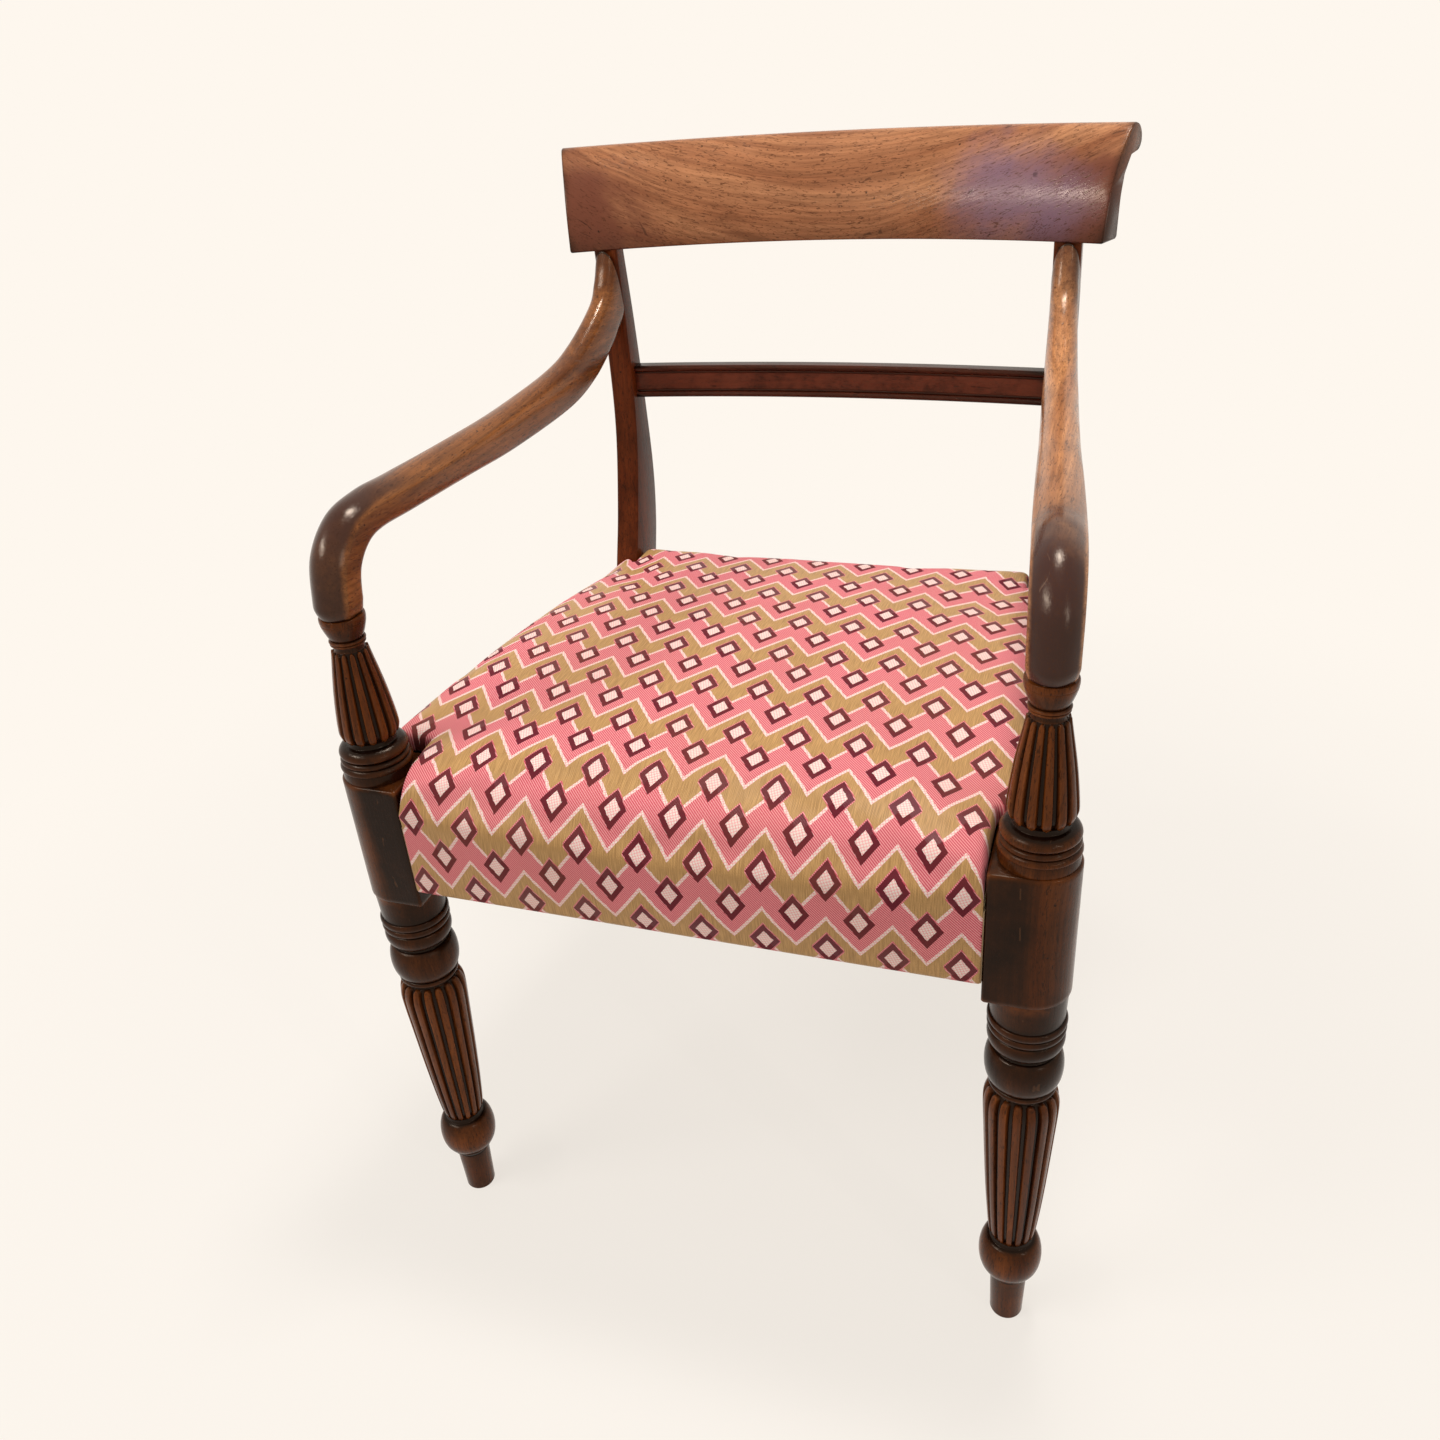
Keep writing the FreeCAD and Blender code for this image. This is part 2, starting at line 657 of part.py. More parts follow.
def rear_brace():
    """The right rear corner block, beside the upright."""
    side_end = SEAT_DEPTH - BRACE_SIDE
    corners = [
        (side_x(side_end, rail_thick), side_end),
        (stile_inner, SEAT_DEPTH),
        (stile_inner, rear_rail_inside),
        (stile_inner - BRACE_REACH, rear_rail_inside),
    ]
    return plan_prism(corners, brace_z, brace_z + BRACE_HEIGHT)


def brace_screws(bore=0):
    """Two screws for each right corner block, square to the rails that it braces."""
    sunk = BRACE_SCREW_LENGTH - BRACE_SCREW_GRIP
    forward = FreeCAD.Vector(0, -1, 0)
    backward = FreeCAD.Vector(0, 1, 0)
    outward = FreeCAD.Vector(1, 0, 0)
    front_side = BLOCK_HALF + 0.5 * BRACE_SIDE
    rear_side = SEAT_DEPTH - 0.5 * BRACE_SIDE
    front = [
        (point(block_inner_x - 0.6 * BRACE_REACH, front_rail_inside + sunk, brace_middle), forward),
        (point(side_x(front_side, rail_thick) - sunk, front_side, brace_middle), outward),
    ]
    rear = [
        (point(stile_inner - 0.5 * BRACE_REACH, rear_rail_inside - sunk, brace_middle), backward),
        (point(side_x(rear_side, rail_thick) - sunk, rear_side, brace_middle), outward),
    ]
    return [[screw(place, way, BRACE_SCREW_LENGTH, bore) for place, way in pair] for pair in (front, rear)]


# Webbing and hessian

web_lift = (WEB_THICK + WEB_ROOM) / 2


def web(start, end, direction, bearing, crossings, over_first):
    """A web that lies flat on its rails, and passes over and under the webs that it crosses."""
    length = end.sub(start).Length
    levels = [(0, 0), (bearing, 0)]
    over = over_first
    for place in crossings:
        step = web_lift if over else -web_lift
        levels += [(place - WEB_WIDTH / 2 - WEB_THICK, step), (place + WEB_WIDTH / 2 + WEB_THICK, step)]
        over = not over
    levels += [(length - bearing, 0), (length, 0)]
    underside = [start + direction * run + FreeCAD.Vector(0, 0, rise) for run, rise in levels]
    thickness = FreeCAD.Vector(0, 0, WEB_THICK)
    upper = [place + thickness for place in reversed(underside)]
    outline = Part.makePolygon(underside + upper + underside[:1])
    sideways = FreeCAD.Vector(direction.y, direction.x, 0) * WEB_WIDTH
    body = Part.Face(outline).extrude(sideways)
    body.translate(sideways * -0.5)
    return body


length_pitch = 2 * stile_inner / WEB_LENGTHWAYS
cross_pitch = (SEAT_DEPTH - BLOCK_HALF) / WEB_CROSSWAYS
web_xs = [(i - (WEB_LENGTHWAYS - 1) / 2) * length_pitch for i in range(WEB_LENGTHWAYS)]
web_backs = [BLOCK_HALF + (i + 0.5) * cross_pitch for i in range(WEB_CROSSWAYS)]
web_front = front_rail_front + WEB_INSET
web_back = rear_rail_back - WEB_INSET
web_bearing = rail_thick - WEB_INSET


def webs_lengthways():
    crossings = [back - web_front for back in web_backs]
    return [web(point(x, web_front, rail_top), point(x, web_back, rail_top), FreeCAD.Vector(0, 1, 0),
                web_bearing, crossings, i % 2 == 0) for i, x in enumerate(web_xs)]


def web_reach(back):
    """Half the length of a crossways web, to the narrower of its two edges."""
    return side_x(back + WEB_WIDTH / 2, WEB_INSET)


def webs_crossways():
    webs = []
    for i, back in enumerate(web_backs):
        reach = web_reach(back)
        crossings = [x + reach for x in web_xs]
        webs.append(web(point(-reach, back, rail_top), point(reach, back, rail_top), FreeCAD.Vector(1, 0, 0),
                        web_bearing, crossings, i % 2 == 1))
    return webs


# Seat form

roof_z = CREST_BOTTOM
roll_turn = math.radians(90 - CROWN_SLOPE)


def roll_corners(edge, outward, radius, z):
    """A rolled edge seen along it, as (place, height) corners from its upright side to its top."""
    centre = edge - outward * radius
    turns = [roll_turn * i / ROLL_FLATS for i in range(ROLL_FLATS + 1)]
    return [(centre + outward * radius * math.cos(turn), z + radius * math.sin(turn)) for turn in turns]


def crown_corners(start, end):
    """The crown between the tops of two rolls, as (place, height) corners between them."""
    half_span = abs(end[0] - start[0]) / 2
    rise = half_span * math.tan(math.radians(CROWN_SLOPE / 2))
    middle = FreeCAD.Vector((start[0] + end[0]) / 2, 0, (start[1] + end[1]) / 2 + rise)
    corners = flats(FreeCAD.Vector(start[0], 0, start[1]), middle, FreeCAD.Vector(end[0], 0, end[1]), CROWN_FLATS)
    return [(corner.x, corner.z) for corner in corners[1:-1]]


def seat_cross(back, inset, bottom):
    """Outline of the seat form from the front, at a distance back."""
    half = side_x(back, inset - COVER_THICK)
    roll_z = rail_top + SIDE_ROLL_RISE - SIDE_ROLL_FALL * back / SEAT_DEPTH
    right = roll_corners(half, 1, SIDE_ROLL - inset, roll_z)
    left = [(-x, z) for x, z in reversed(right)]
    low = [(-half, bottom), (half, bottom)]
    return [point(x, back, z) for x, z in low + right + crown_corners(right[-1], left[0]) + left]


def seat_form(inset, bottom):
    """Crowned form of the seat, set in by a distance: a tapering form across, met by one along."""
    across_form = faceted([seat_cross(back, inset, bottom) for back in (-2 * cover_front, chair_back)])
    front = roll_corners(inset - cover_front, -1, FRONT_ROLL - inset, rail_top + FRONT_ROLL_RISE)
    rear = roll_corners(cover_back - inset, 1, REAR_ROLL - inset, rail_top + REAR_ROLL_RISE)[::-1]
    low = [(cover_back - inset, bottom), (inset - cover_front, bottom)]
    outline = front + crown_corners(front[-1], rear[0]) + rear + low + front[:1]
    edges = lines_through([point(-POST_SPREAD, back, z) for back, z in outline])
    along_form = solid_between(edges, FreeCAD.Vector(2 * POST_SPREAD, 0, 0))
    return across_form.common(along_form)


def wood_clear(room, bottom):
    """Space round the right post and the right upright that the seat's layers are cut back from."""
    post_space = block_between(block_inner_x - room, POST_SPREAD, -2 * cover_front, BLOCK_HALF + room,
                               bottom, roof_z)
    front = upright_edge(UPRIGHT_FRONT, UPRIGHT_TOP_FRONT)
    low = front.Vertexes[0].Point
    high = front.Vertexes[1].Point
    far = 2 * chair_back
    low_far = FreeCAD.Vector(low.x, far, low.z)
    high_far = FreeCAD.Vector(high.x, far, high.z)
    edges = [front, line(high, high_far), line(high_far, low_far), line(low_far, low)]
    stile_space = solid_between(edges, FreeCAD.Vector(POST_SPREAD, 0, 0))
    stile_space.translate(FreeCAD.Vector(-room, -room, 0))
    above = block_between(0, 2 * POST_SPREAD, -far, far, bottom, roof_z)
    return [post_space, stile_space.common(above)]


def cut_round_wood(form, room, bottom):
    for space in both_sides(wood_clear(room, bottom)):
        form = form.cut(space)
    return form


def cover_lip():
    """The cover's turned-under edge along each rail."""
    gap = COVER_ROOM
    half_front = block_inner_x - gap
    half_rear = stile_inner - gap
    front = block_between(-half_front, half_front, -cover_front, COVER_LIP - cover_front,
                          cover_bottom, rail_bottom)
    rear = block_between(-half_rear, half_rear, cover_back - COVER_LIP, cover_back, cover_bottom, rail_bottom)
    side = side_strip(BLOCK_HALF + gap, SEAT_DEPTH - gap, -COVER_THICK, COVER_LIP - COVER_THICK,
                      cover_bottom, rail_bottom)
    return [front, rear] + both_sides([side])


def seat_cover():
    outer = cut_round_wood(seat_form(0, cover_bottom), COVER_ROOM, 0)
    inner = seat_form(COVER_THICK, cover_bottom - 1)
    inner = cut_round_wood(inner, COVER_ROOM + COVER_THICK, rail_top)
    return outer.cut(inner).multiFuse(cover_lip()).removeSplitter()


def hessian():
    corners = [
        (-block_inner_x, front_rail_front + HESSIAN_INSET),
        (block_inner_x, front_rail_front + HESSIAN_INSET),
        (side_x(front_rail_front, HESSIAN_INSET), front_rail_front + HESSIAN_INSET),
        (side_x(rear_rail_back, HESSIAN_INSET), rear_rail_back - HESSIAN_INSET),
        (-side_x(rear_rail_back, HESSIAN_INSET), rear_rail_back - HESSIAN_INSET),
        (-side_x(front_rail_front, HESSIAN_INSET), front_rail_front + HESSIAN_INSET),
    ]
    sheet = plan_prism(corners, hessian_z, hessian_z + HESSIAN_THICK)
    return cut_round_wood(sheet, COVER_ROOM + COVER_THICK + STUFFING_ROOM, 0)


hessian_z = rail_top + WEB_THICK + web_lift


def seat_stuffing():
    form = seat_form(COVER_THICK + STUFFING_ROOM, hessian_z + HESSIAN_THICK)
    return cut_round_wood(form, COVER_ROOM + COVER_THICK + STUFFING_ROOM, 0)


# Assembly

os.makedirs("parts", exist_ok=True)


def write(name, shape):
    shape.exportStep(os.path.join("parts", name + ".step"))


def write_pair(name, shape):
    write(name + "_right", shape)
    write(name + "_left", across(shape))


upright_solid = upright_body()
arm_screws = [screw(place, FreeCAD.Vector(0, -1, 0), ARM_SCREW_LENGTH) for place in arm_screw_places()]
plugs = [arm_screw_plug(place, upright_solid) for place in arm_screw_places()]
front_screws, rear_screws = brace_screws()
front_bores, rear_bores = brace_screws(BRACE_REACH)
brace_fixings = Part.makeCompound(both_sides(front_screws + rear_screws))

write_pair("front_post", front_post())
write_pair("rear_upright", rear_upright(upright_solid, Part.makeCompound(arm_screws + plugs)))
write_pair("arm", arm(arm_body(), upright_solid, Part.makeCompound(arm_screws)))
write("crest_rail", crest_rail())
write("mid_rail", mid_rail())
write("front_seat_rail", front_seat_rail().cut(brace_fixings))
write("rear_seat_rail", rear_seat_rail().cut(brace_fixings))
write_pair("side_seat_rail", side_seat_rail(upright_solid).cut(brace_fixings))
write_pair("front_corner_block", front_brace().cut(Part.makeCompound(front_bores)))
write_pair("rear_corner_block", rear_brace().cut(Part.makeCompound(rear_bores)))
write("corner_block_screws", brace_fixings)
write("arm_screws", Part.makeCompound(both_sides(arm_screws)))
write("arm_screw_plugs", Part.makeCompound(both_sides(plugs)))
write("webbing_lengthways", Part.makeCompound(webs_lengthways()))
write("webbing_crossways", Part.makeCompound(webs_crossways()))
write("hessian", hessian())
write("seat_stuffing", seat_stuffing())
write("seat_cover", seat_cover())
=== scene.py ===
# A carver dining chair: a polished mahogany frame with reeded posts, scroll arms and a rolled
# crest, and a stuffed seat under a patterned weave.
import math
import bpy
from mathutils import Matrix, Vector


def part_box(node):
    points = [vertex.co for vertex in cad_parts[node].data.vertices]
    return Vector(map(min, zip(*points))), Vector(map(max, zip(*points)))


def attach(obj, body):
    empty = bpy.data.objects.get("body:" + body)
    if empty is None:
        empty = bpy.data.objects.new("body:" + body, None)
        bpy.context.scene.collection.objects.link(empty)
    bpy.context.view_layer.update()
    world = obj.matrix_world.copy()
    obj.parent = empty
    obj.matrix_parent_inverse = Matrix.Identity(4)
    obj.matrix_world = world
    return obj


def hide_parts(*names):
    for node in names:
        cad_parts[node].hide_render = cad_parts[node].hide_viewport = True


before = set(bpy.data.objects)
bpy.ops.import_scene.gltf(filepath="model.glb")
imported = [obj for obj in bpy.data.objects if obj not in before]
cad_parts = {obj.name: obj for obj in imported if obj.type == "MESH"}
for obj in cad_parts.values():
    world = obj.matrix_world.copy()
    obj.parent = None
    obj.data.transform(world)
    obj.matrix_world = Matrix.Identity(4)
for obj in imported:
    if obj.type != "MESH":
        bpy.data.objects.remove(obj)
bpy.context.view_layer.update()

# Shapes are worked out in millimetres and turned into metres when a mesh is made.
# "back" is a distance behind the axes of the two front posts.
# An age is the share of old dark colour on the wood, which stands mostly for old dark polish.
MM = 0.001
BODY = "root"
SHARP_ANGLE = math.radians(38)

# Front posts. Each turned member has a height, a middle and a top radius.
BLOCK_HALF = 28.8            # post axis to the front, back and outer faces of the seat block
BLOCK_INNER = 30.0           # post axis to its inner face
BLOCK_ROUNDING = 2.2         # of its inner corners
BLOCK_EDGE = ((0.0, 1.6), (0.5, 0.6), (1.6, 0.0), (4.5, 0.0), (9.0, 0.0))   # its ends: height and inset
BLOCK_ARC_STEPS = 32
BLOCK_ROWS = 8
TOE_RADIUS = 12.6
FOOT_TURNING = (
    (2.0, 13.1, 13.2),       # softened toe
    (45.0, 13.9, 14.7),      # peg foot
    (6.0, 15.2, 17.4),       # flare under the bulb
    (3.0, 19.4, 18.2),       # fillet
    (37.0, 25.0, 17.6),      # bulb
    (5.0, 16.3, 16.6),       # quirk
)
LEG_REED_HEIGHT = 164.0
LEG_REED_COUNT = 16
LEG_REED_ROWS = 80
LEG_REEDS = (                # share of the height, and radius
    (0.0, 17.0), (0.05, 19.0), (0.24, 21.8), (0.46, 24.2),
    (0.7, 26.4), (0.88, 27.9), (0.95, 27.3), (1.0, 24.4),
)
COLLAR_RADIUS = 21.8
VASE_TURNING = (
    (3.0, 21.0, 21.8),       # dark cove over the reeds
    (5.5, 25.0, 22.4),       # collar
    (32.5, 28.6, 22.8),      # vase
    (3.0, 22.2, 22.8),       # quirk
    (15.0, 27.6, 25.0),      # torus
    (7.0, 28.0, 26.0),       # lower bead
    (7.0, 28.3, 26.4),       # upper bead
    (26.0, 26.9, 27.4),      # drum
)
RING_RADIUS = 27.0
RING_TURNING = (
    (8.0, 26.9, 26.2),       # drum
    (5.5, 27.6, 24.4),       # lower bead
    (5.0, 26.6, 22.8),       # upper bead
    (9.5, 26.2, 19.2),       # torus
    (4.0, 18.4, 18.4),       # quirk
)
BELL_HEIGHT = 74.0
BELL_REED_COUNT = 14
BELL_REED_ROWS = 56
BELL_REEDS = ((0.0, 20.2), (0.06, 22.3), (0.16, 22.8), (0.52, 19.7), (0.9, 14.9), (1.0, 13.6))
NECK_RADIUS = 11.6
CUP_TURNING = (
    (4.0, 11.2, 11.6),       # neck
    (2.2, 13.2, 12.0),       # lower ring
    (2.8, 13.6, 11.8),       # upper ring
    (13.5, 14.9, 16.5),      # cup
    (4.5, 16.9, 16.4),       # lip
)
REED_SHARE = 0.66            # part of each pitch that the reed takes
REED_SOFTNESS = 0.13         # width of the reed's rounded edges, as a share of the pitch
REED_DEPTH = 0.15            # depth of the grooves, as a share of the radius
REED_CROWN = 0.012           # roundness of the reed's face, as a share of the radius
REED_TIP = 4.5               # length of the rounded tip of each reed
REED_LEVELS = 6              # smooth steps between the radii given
REED_STEPS = 16              # corners round the post in each reed's pitch
LATHE_SIDES = 72
MEMBER_STEPS = 12
STRAIGHT = 0.15              # a member with less swell than this is straight
HOLLOW_WINDOW = 6.0          # a place counts as hollow below what stands this near
HOLLOW_DEPTH = 3.0           # and is at its darkest when this deep
FOOT_AGE = 0.12
REED_AGE = 0.0
VASE_AGE = 0.8
BLOCK_AGE = 0.98             # on the block's flat faces
BLOCK_ROUND_AGE = 0.5
BLOCK_AGE_WIDTH = 12.0       # over which the one turns into the other
RING_AGE = 0.55
CUP_AGE = 0.0

# Rear uprights: distance behind the upright's front at the seat and height, front and back
UPRIGHT_FRONT = (
    (101, 0), (63, 130), (26, 265), (4, 348), (0, 400),
    (5, 452), (27, 519), (46, 602), (48, 690), (43, 774),
)
UPRIGHT_BACK = (
    (130, 0), (94, 130), (66, 265), (55, 370), (61, 440),
    (77, 500), (83, 555), (79, 630), (71, 712), (63, 774),
)
UPRIGHT_ROUNDING = 3.2
UPRIGHT_STEPS = 8
UPRIGHT_AGE = 0.35
CORNER_STEPS = 5

# Crest rail and mid rail
CREST_RADIUS = 660.0
CREST_HALF_SPAN = 239.0
CREST_THICK = 26.0
CREST_HEIGHT = 85.0
CREST_ROLL_REACH = 61.0
CREST_ROUNDING = 1.6
CREST_STEPS = 60
CREST_AGES = (0.0, 0.95)     # at the middle and at the ends
MID_RAIL_THICK = 15.0
MID_RAIL_SAG = 12.0
MID_RAIL_ENTRY = 1.0         # into each upright
MID_BEAD = 5.4               # height of the beads along its edges
MID_REED = 2.6               # height of the fine reeds beside them
MID_SINK = 3.0               # depth of the flat between them
MID_ROUNDING = 1.2           # of its rear edges
MID_END_ROUNDING = 0.2
MID_STEPS = 24
MID_REAR_STEPS = 8
MID_AGES = (0.3, 0.6)
LIGHTER_TOP_FROM = 0.6            # share of a rail's height above which it is lighter: a painted highlight from above, and old polish rubbed thin
LIGHTER_TOP_OVER = 0.3
LIGHTER_TOP_SHARE = 0.7

# Arms
ARM_BEND_RADIUS = 49.5
ARM_BEND_DEGREES = (180, 150, 120, 90)
ARM_END_DROP = 13.0
ARM_THICK = 30.0
ARM_WIDTH = 34.0
ARM_END_WIDTH = 32.5
ARM_END_ROUNDING = 9.0       # height of the rounding over the post's cup
ARM_END_TAPER = 0.2          # share by which it narrows there
ARM_NOSE = 3.5               # swell of the scroll's front
ARM_CROWN_POWER = 2.35       # roundness of the section's upper half: 2 is an ellipse
ARM_UNDER_POWER = 3.6
ARM_RIDGE = 0.34             # height of the soft ridges along the top, above the section's middle
ARM_RIDGE_LIFT = 0.3         # the most by which they raise the section
ARM_RIDGE_SHARE = 0.8
ARM_RIDGE_FADE = (110.0, 160.0)   # run at which they start to fade, and over how far
ARM_SIDES = 64
ARM_STEPS = 11
# Along the arm: the top's distance ahead of the stile, its share of the rise from the post to the
# crest, the same for the underside, and the width
ARM_REAR = (
    (285.0, 0.460, 285.0, 0.278, 32.4),
    (210.0, 0.474, 210.0, 0.274, 29.8),
    (122.0, 0.526, 113.0, 0.308, 28.2),
    (75.0, 0.604, 61.0, 0.382, 26.4),
    (27.0, 0.760, 22.0, 0.494, 24.0),
    (12.0, 0.884, 5.0, 0.560, 23.2),
    (5.0, 0.998, -9.0, 0.610, 23.0),
)
ARM_AGE = 0.12
ARM_UNDERSIDE_DARKER = 0.1          # darker on its underside by this much
ARM_UNDER_CREST_DARKER = 0.4          # darker below the crest by this much
ARM_HAND_AGE = 0.83          # added on top, where hands rest
ARM_HAND_FADE = (5.0, 170.0)

# Seat
COVER_THICK = 1.5            # room for the cover over the rails
COVER_CLOTH = 1.2            # thickness of the cloth itself
COVER_LIP = 16.0             # turned under the rails
FRONT_ROLL = 34.0
FRONT_ROLL_RISE = 12.0       # start of the roll above the rails
SIDE_ROLL = 30.0
SIDE_ROLL_RISE = 20.0        # at the posts
SIDE_ROLL_FALL = 9.0         # lower by this at the uprights
SIDE_SWELL = 9.0             # and fuller by this half way
SIDE_ROLL_STEPS = 12
REAR_ROLL = 32.0
REAR_ROLL_RISE = 11.5
SEAT_CROWN = 12.0            # rise of the middle over the edges
CROWN_POWER = 0.9            # fullness of the crown from front to back
DOME_POWER = 0.8             # and from side to side
WOOD_ROOM = 0.5              # between the cover and the wood that it is cut round
CLOTH_STEP = 6.0             # spacing of the cover's mesh
EDGE_STEPS = (13.0, 7.5, 3.5, 1.2)      # the cover's mesh beside a cut, measured from it
POST_TUCK = 9.0              # roll-down of the cover where it meets a post
STILE_TUCK = 8.0             # and an upright
FACE_TUCK = 1.2              # on its front and rear faces
TUCK_RISE = 14.0             # height over which the roll-down sets in
HIDDEN_EDGE = 9.0            # cloth that is pushed down out of sight beside the wood
STILE_LAP = 1.8              # of the cover's sides over the rounded edge of an upright
STILE_EASE = 30.0            # length over which the cover runs out to the upright's own front
STILE_CORNER = 6.0           # width over which it does so beside the cut
TOUCH = 0.01                 # places this near are the same
CLOTH_FRAMES = 16
CLOTH_PRESSURE = 1.6
CLOTH_REACH = 5.0            # the most that a place on the cover may move as it settles
PAD_ROOM = 5.0               # between the cover's outside and the stuffing
PAD_STEPS = 14
TACK_PITCH = 22.0
TACK_INSET = 9.6
TACK_RADIUS = 4.2
TACK_RISE = 1.3
TACK_SIDES = 10
TACK_ROWS = 5

# Webbing and hessian under the stuffing
WEB_WIDTH = 50.0
WEB_THICK = 1.8
WEB_SOFT = 1.0               # width of its rounded edges
WEB_COUNT = 4                # each way
WEB_END = 4.0                # in from the outside of the rail
WEB_SLOPE = 9.0              # run of the web as it passes from over to under
HESSIAN_INSET = 3.0          # in from the outside of the rail
HESSIAN_BELLY = 2.4          # sag of the hessian in the gaps between webs
HESSIAN_SLOPE = 18.0
HESSIAN_STEPS = 60

# Finishes, in metres
MAHOGANY_SLOT = "polished_mahogany"
OLD_BLACK = (0.0075, 0.0028, 0.0016)
POST_SCRATCH = (0.11, 0.042, 0.016)
ARM_SCRATCH = (0.16, 0.08, 0.05)
WARM_GLOSS = (1.0, 0.8, 0.62)
GRAIN_SWAY = 0.03
HAZE_X = 0.166               # a hazy patch on the right of the crest: a painted reflection of the sky, partly a bloom in the polish
HAZE_RISE = 0.036            # above the crest's lower edge
HAZE_WIDTH = 0.064
HAZE_HEIGHT = 0.046
PATTERN_WIDTH = 0.046        # repeat of the woven pattern, across
PATTERN_LENGTH = 0.060       # and along
PATTERN_WAVER = 0.0012
THREAD_PITCH = 0.0022
PINK = (0.57, 0.055, 0.088)
PALE_PINK = (0.86, 0.385, 0.36)
GOLD = (0.57, 0.315, 0.115)
OLIVE = (0.36, 0.19, 0.065)
CREAM = (0.86, 0.68, 0.58)
BURGUNDY = (0.085, 0.003, 0.01)

# Positions that follow from the frame


def box_mm(node):
    return [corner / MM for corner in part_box(node)]


post_low, post_high = box_mm("front_post_right")
stile_low, stile_high = box_mm("rear_upright_right")
rail_low, rail_high = box_mm("front_seat_rail")
side_rail_low, side_rail_high = box_mm("side_seat_rail_right")
crest_low, crest_high = box_mm("crest_rail")
mid_low, mid_high = box_mm("mid_rail")
arm_low, arm_high = box_mm("arm_right")
cover_low, cover_high = box_mm("seat_cover")
stuffing_low, stuffing_high = box_mm("seat_stuffing")
web_low, web_high = box_mm("webbing_lengthways")
hessian_low, hessian_high = box_mm("hessian")

post_x = post_high.x - BLOCK_HALF
post_y = (post_low.y + post_high.y) / 2
post_top = arm_low.z
stile_inner = stile_low.x
stile_outer = stile_high.x
stile_middle = (stile_inner + stile_outer) / 2
seat_depth = stile_low.y - post_y
rail_top = rail_high.z
crest_bottom = crest_low.z
crest_axis = crest_high.y - post_y - CREST_RADIUS - CREST_ROLL_REACH
arm_rise = crest_bottom - post_top
arm_aim = Vector((stile_middle - post_x, seat_depth + UPRIGHT_FRONT[-1][0], 0))
stile_run = arm_aim.length
arm_aim.normalize()
arm_sideways = Vector((arm_aim.y, -arm_aim.x, 0))

foot_height = sum(member[0] for member in FOOT_TURNING)
vase_z = foot_height + LEG_REED_HEIGHT
block_z = vase_z + sum(member[0] for member in VASE_TURNING)
ring_z = post_top - BELL_HEIGHT - sum(member[0] for member in RING_TURNING + CUP_TURNING)
bell_z = ring_z + sum(member[0] for member in RING_TURNING)

cover_front = cover_low.y - post_y
cover_back = cover_high.y - post_y
cover_bottom = cover_low.z
cover_side = side_rail_high.x + COVER_THICK
post_cut_x = post_x - BLOCK_INNER - WOOD_ROOM
post_cut_back = BLOCK_HALF + WOOD_ROOM
stile_cut_x = stile_inner - WOOD_ROOM
stile_cut_back = seat_depth - WOOD_ROOM
front_roll_z = rail_top + FRONT_ROLL_RISE
rear_roll_z = rail_top + REAR_ROLL_RISE
web_lift = hessian_low.z - rail_top - WEB_THICK
web_xs = [(i - (WEB_COUNT - 1) / 2) * 2 * stile_inner / WEB_COUNT for i in range(WEB_COUNT)]
web_backs = [BLOCK_HALF + (i + 0.5) * (seat_depth - BLOCK_HALF) / WEB_COUNT for i in range(WEB_COUNT)]


def point(x, back, z):
    return Vector((x, post_y + back, z))


def blend_between(a, b, share):
    return a + (b - a) * share


def eased(value):
    """0 below 0, 1 above 1, and a smooth step between."""
    value = min(1.0, max(0.0, value))
    return value * value * (3 - 2 * value)


def curved(before, a, b, after, t):
    """A value on the way from a to b, which also follows the values on either side."""
    slope_a = (b - before) / 2
    slope_b = (after - a) / 2
    return (a * (2 * t**3 - 3 * t**2 + 1) + slope_a * (t**3 - 2 * t**2 + t)
            + b * (3 * t**2 - 2 * t**3) + slope_b * (t**3 - t**2))


def smooth_rows(rows, steps):
    """Rows of numbers with smooth rows between them, a number of steps for each gap."""
    first = [2 * a - b for a, b in zip(rows[0], rows[1])]
    last = [2 * a - b for a, b in zip(rows[-1], rows[-2])]
    ends = [first, *rows, last]
    smooth = []
    for gap in zip(ends, ends[1:], ends[2:], ends[3:]):
        for i in range(steps):
            smooth.append([curved(*values, i / steps) for values in zip(*gap)])
    return smooth + [rows[-1]]


def value_along(rows, place):
    """The value at a place, from rows of (place, value)."""
    for (a, low), (b, high) in zip(rows, rows[1:]):
        if place <= b:
            return blend_between(low, high, (place - a) / (b - a))
    return rows[-1][1]


# Mesh building

class Shell:
    """Corners in millimetres and faces. Each corner has a depth in a hollow and an age."""

    def __init__(self):
        self.corners = []
        self.faces = []
        self.hollows = []
        self.ages = []

    def add_skin(self, rings, hollows=None, ages=0.0):
        """A closed skin through rings of corners, with flat ends. ages is a number or rows."""
        first = len(self.corners)
        size = len(rings[0])
        for i, ring in enumerate(rings):
            self.corners += ring
            self.hollows += hollows[i] if hollows else [0.0] * size
            self.ages += ages[i] if isinstance(ages, list) else [ages] * size
        for row in range(len(rings) - 1):
            for i in range(size):
                a = first + row * size
                j = (i + 1) % size
                self.faces.append((a + i, a + j, a + size + j, a + size + i))
        last = first + (len(rings) - 1) * size
        self.faces.append(tuple(first + i for i in reversed(range(size))))
        self.faces.append(tuple(last + i for i in range(size)))

    def across(self):
        """The same form on the other side of the chair."""
        other = Shell()
        other.corners = [Vector((-corner.x, corner.y, corner.z)) for corner in self.corners]
        other.faces = [face[::-1] for face in self.faces]
        other.hollows = list(self.hollows)
        other.ages = list(self.ages)
        return other


def new_mesh(name, corners, faces):
    mesh = bpy.data.meshes.new(name)
    mesh.from_pydata([corner * MM for corner in corners], [], faces)
    mesh.validate()
    return mesh


def new_object(name, data):
    thing = bpy.data.objects.new(name, data)
    bpy.context.collection.objects.link(thing)
    return thing


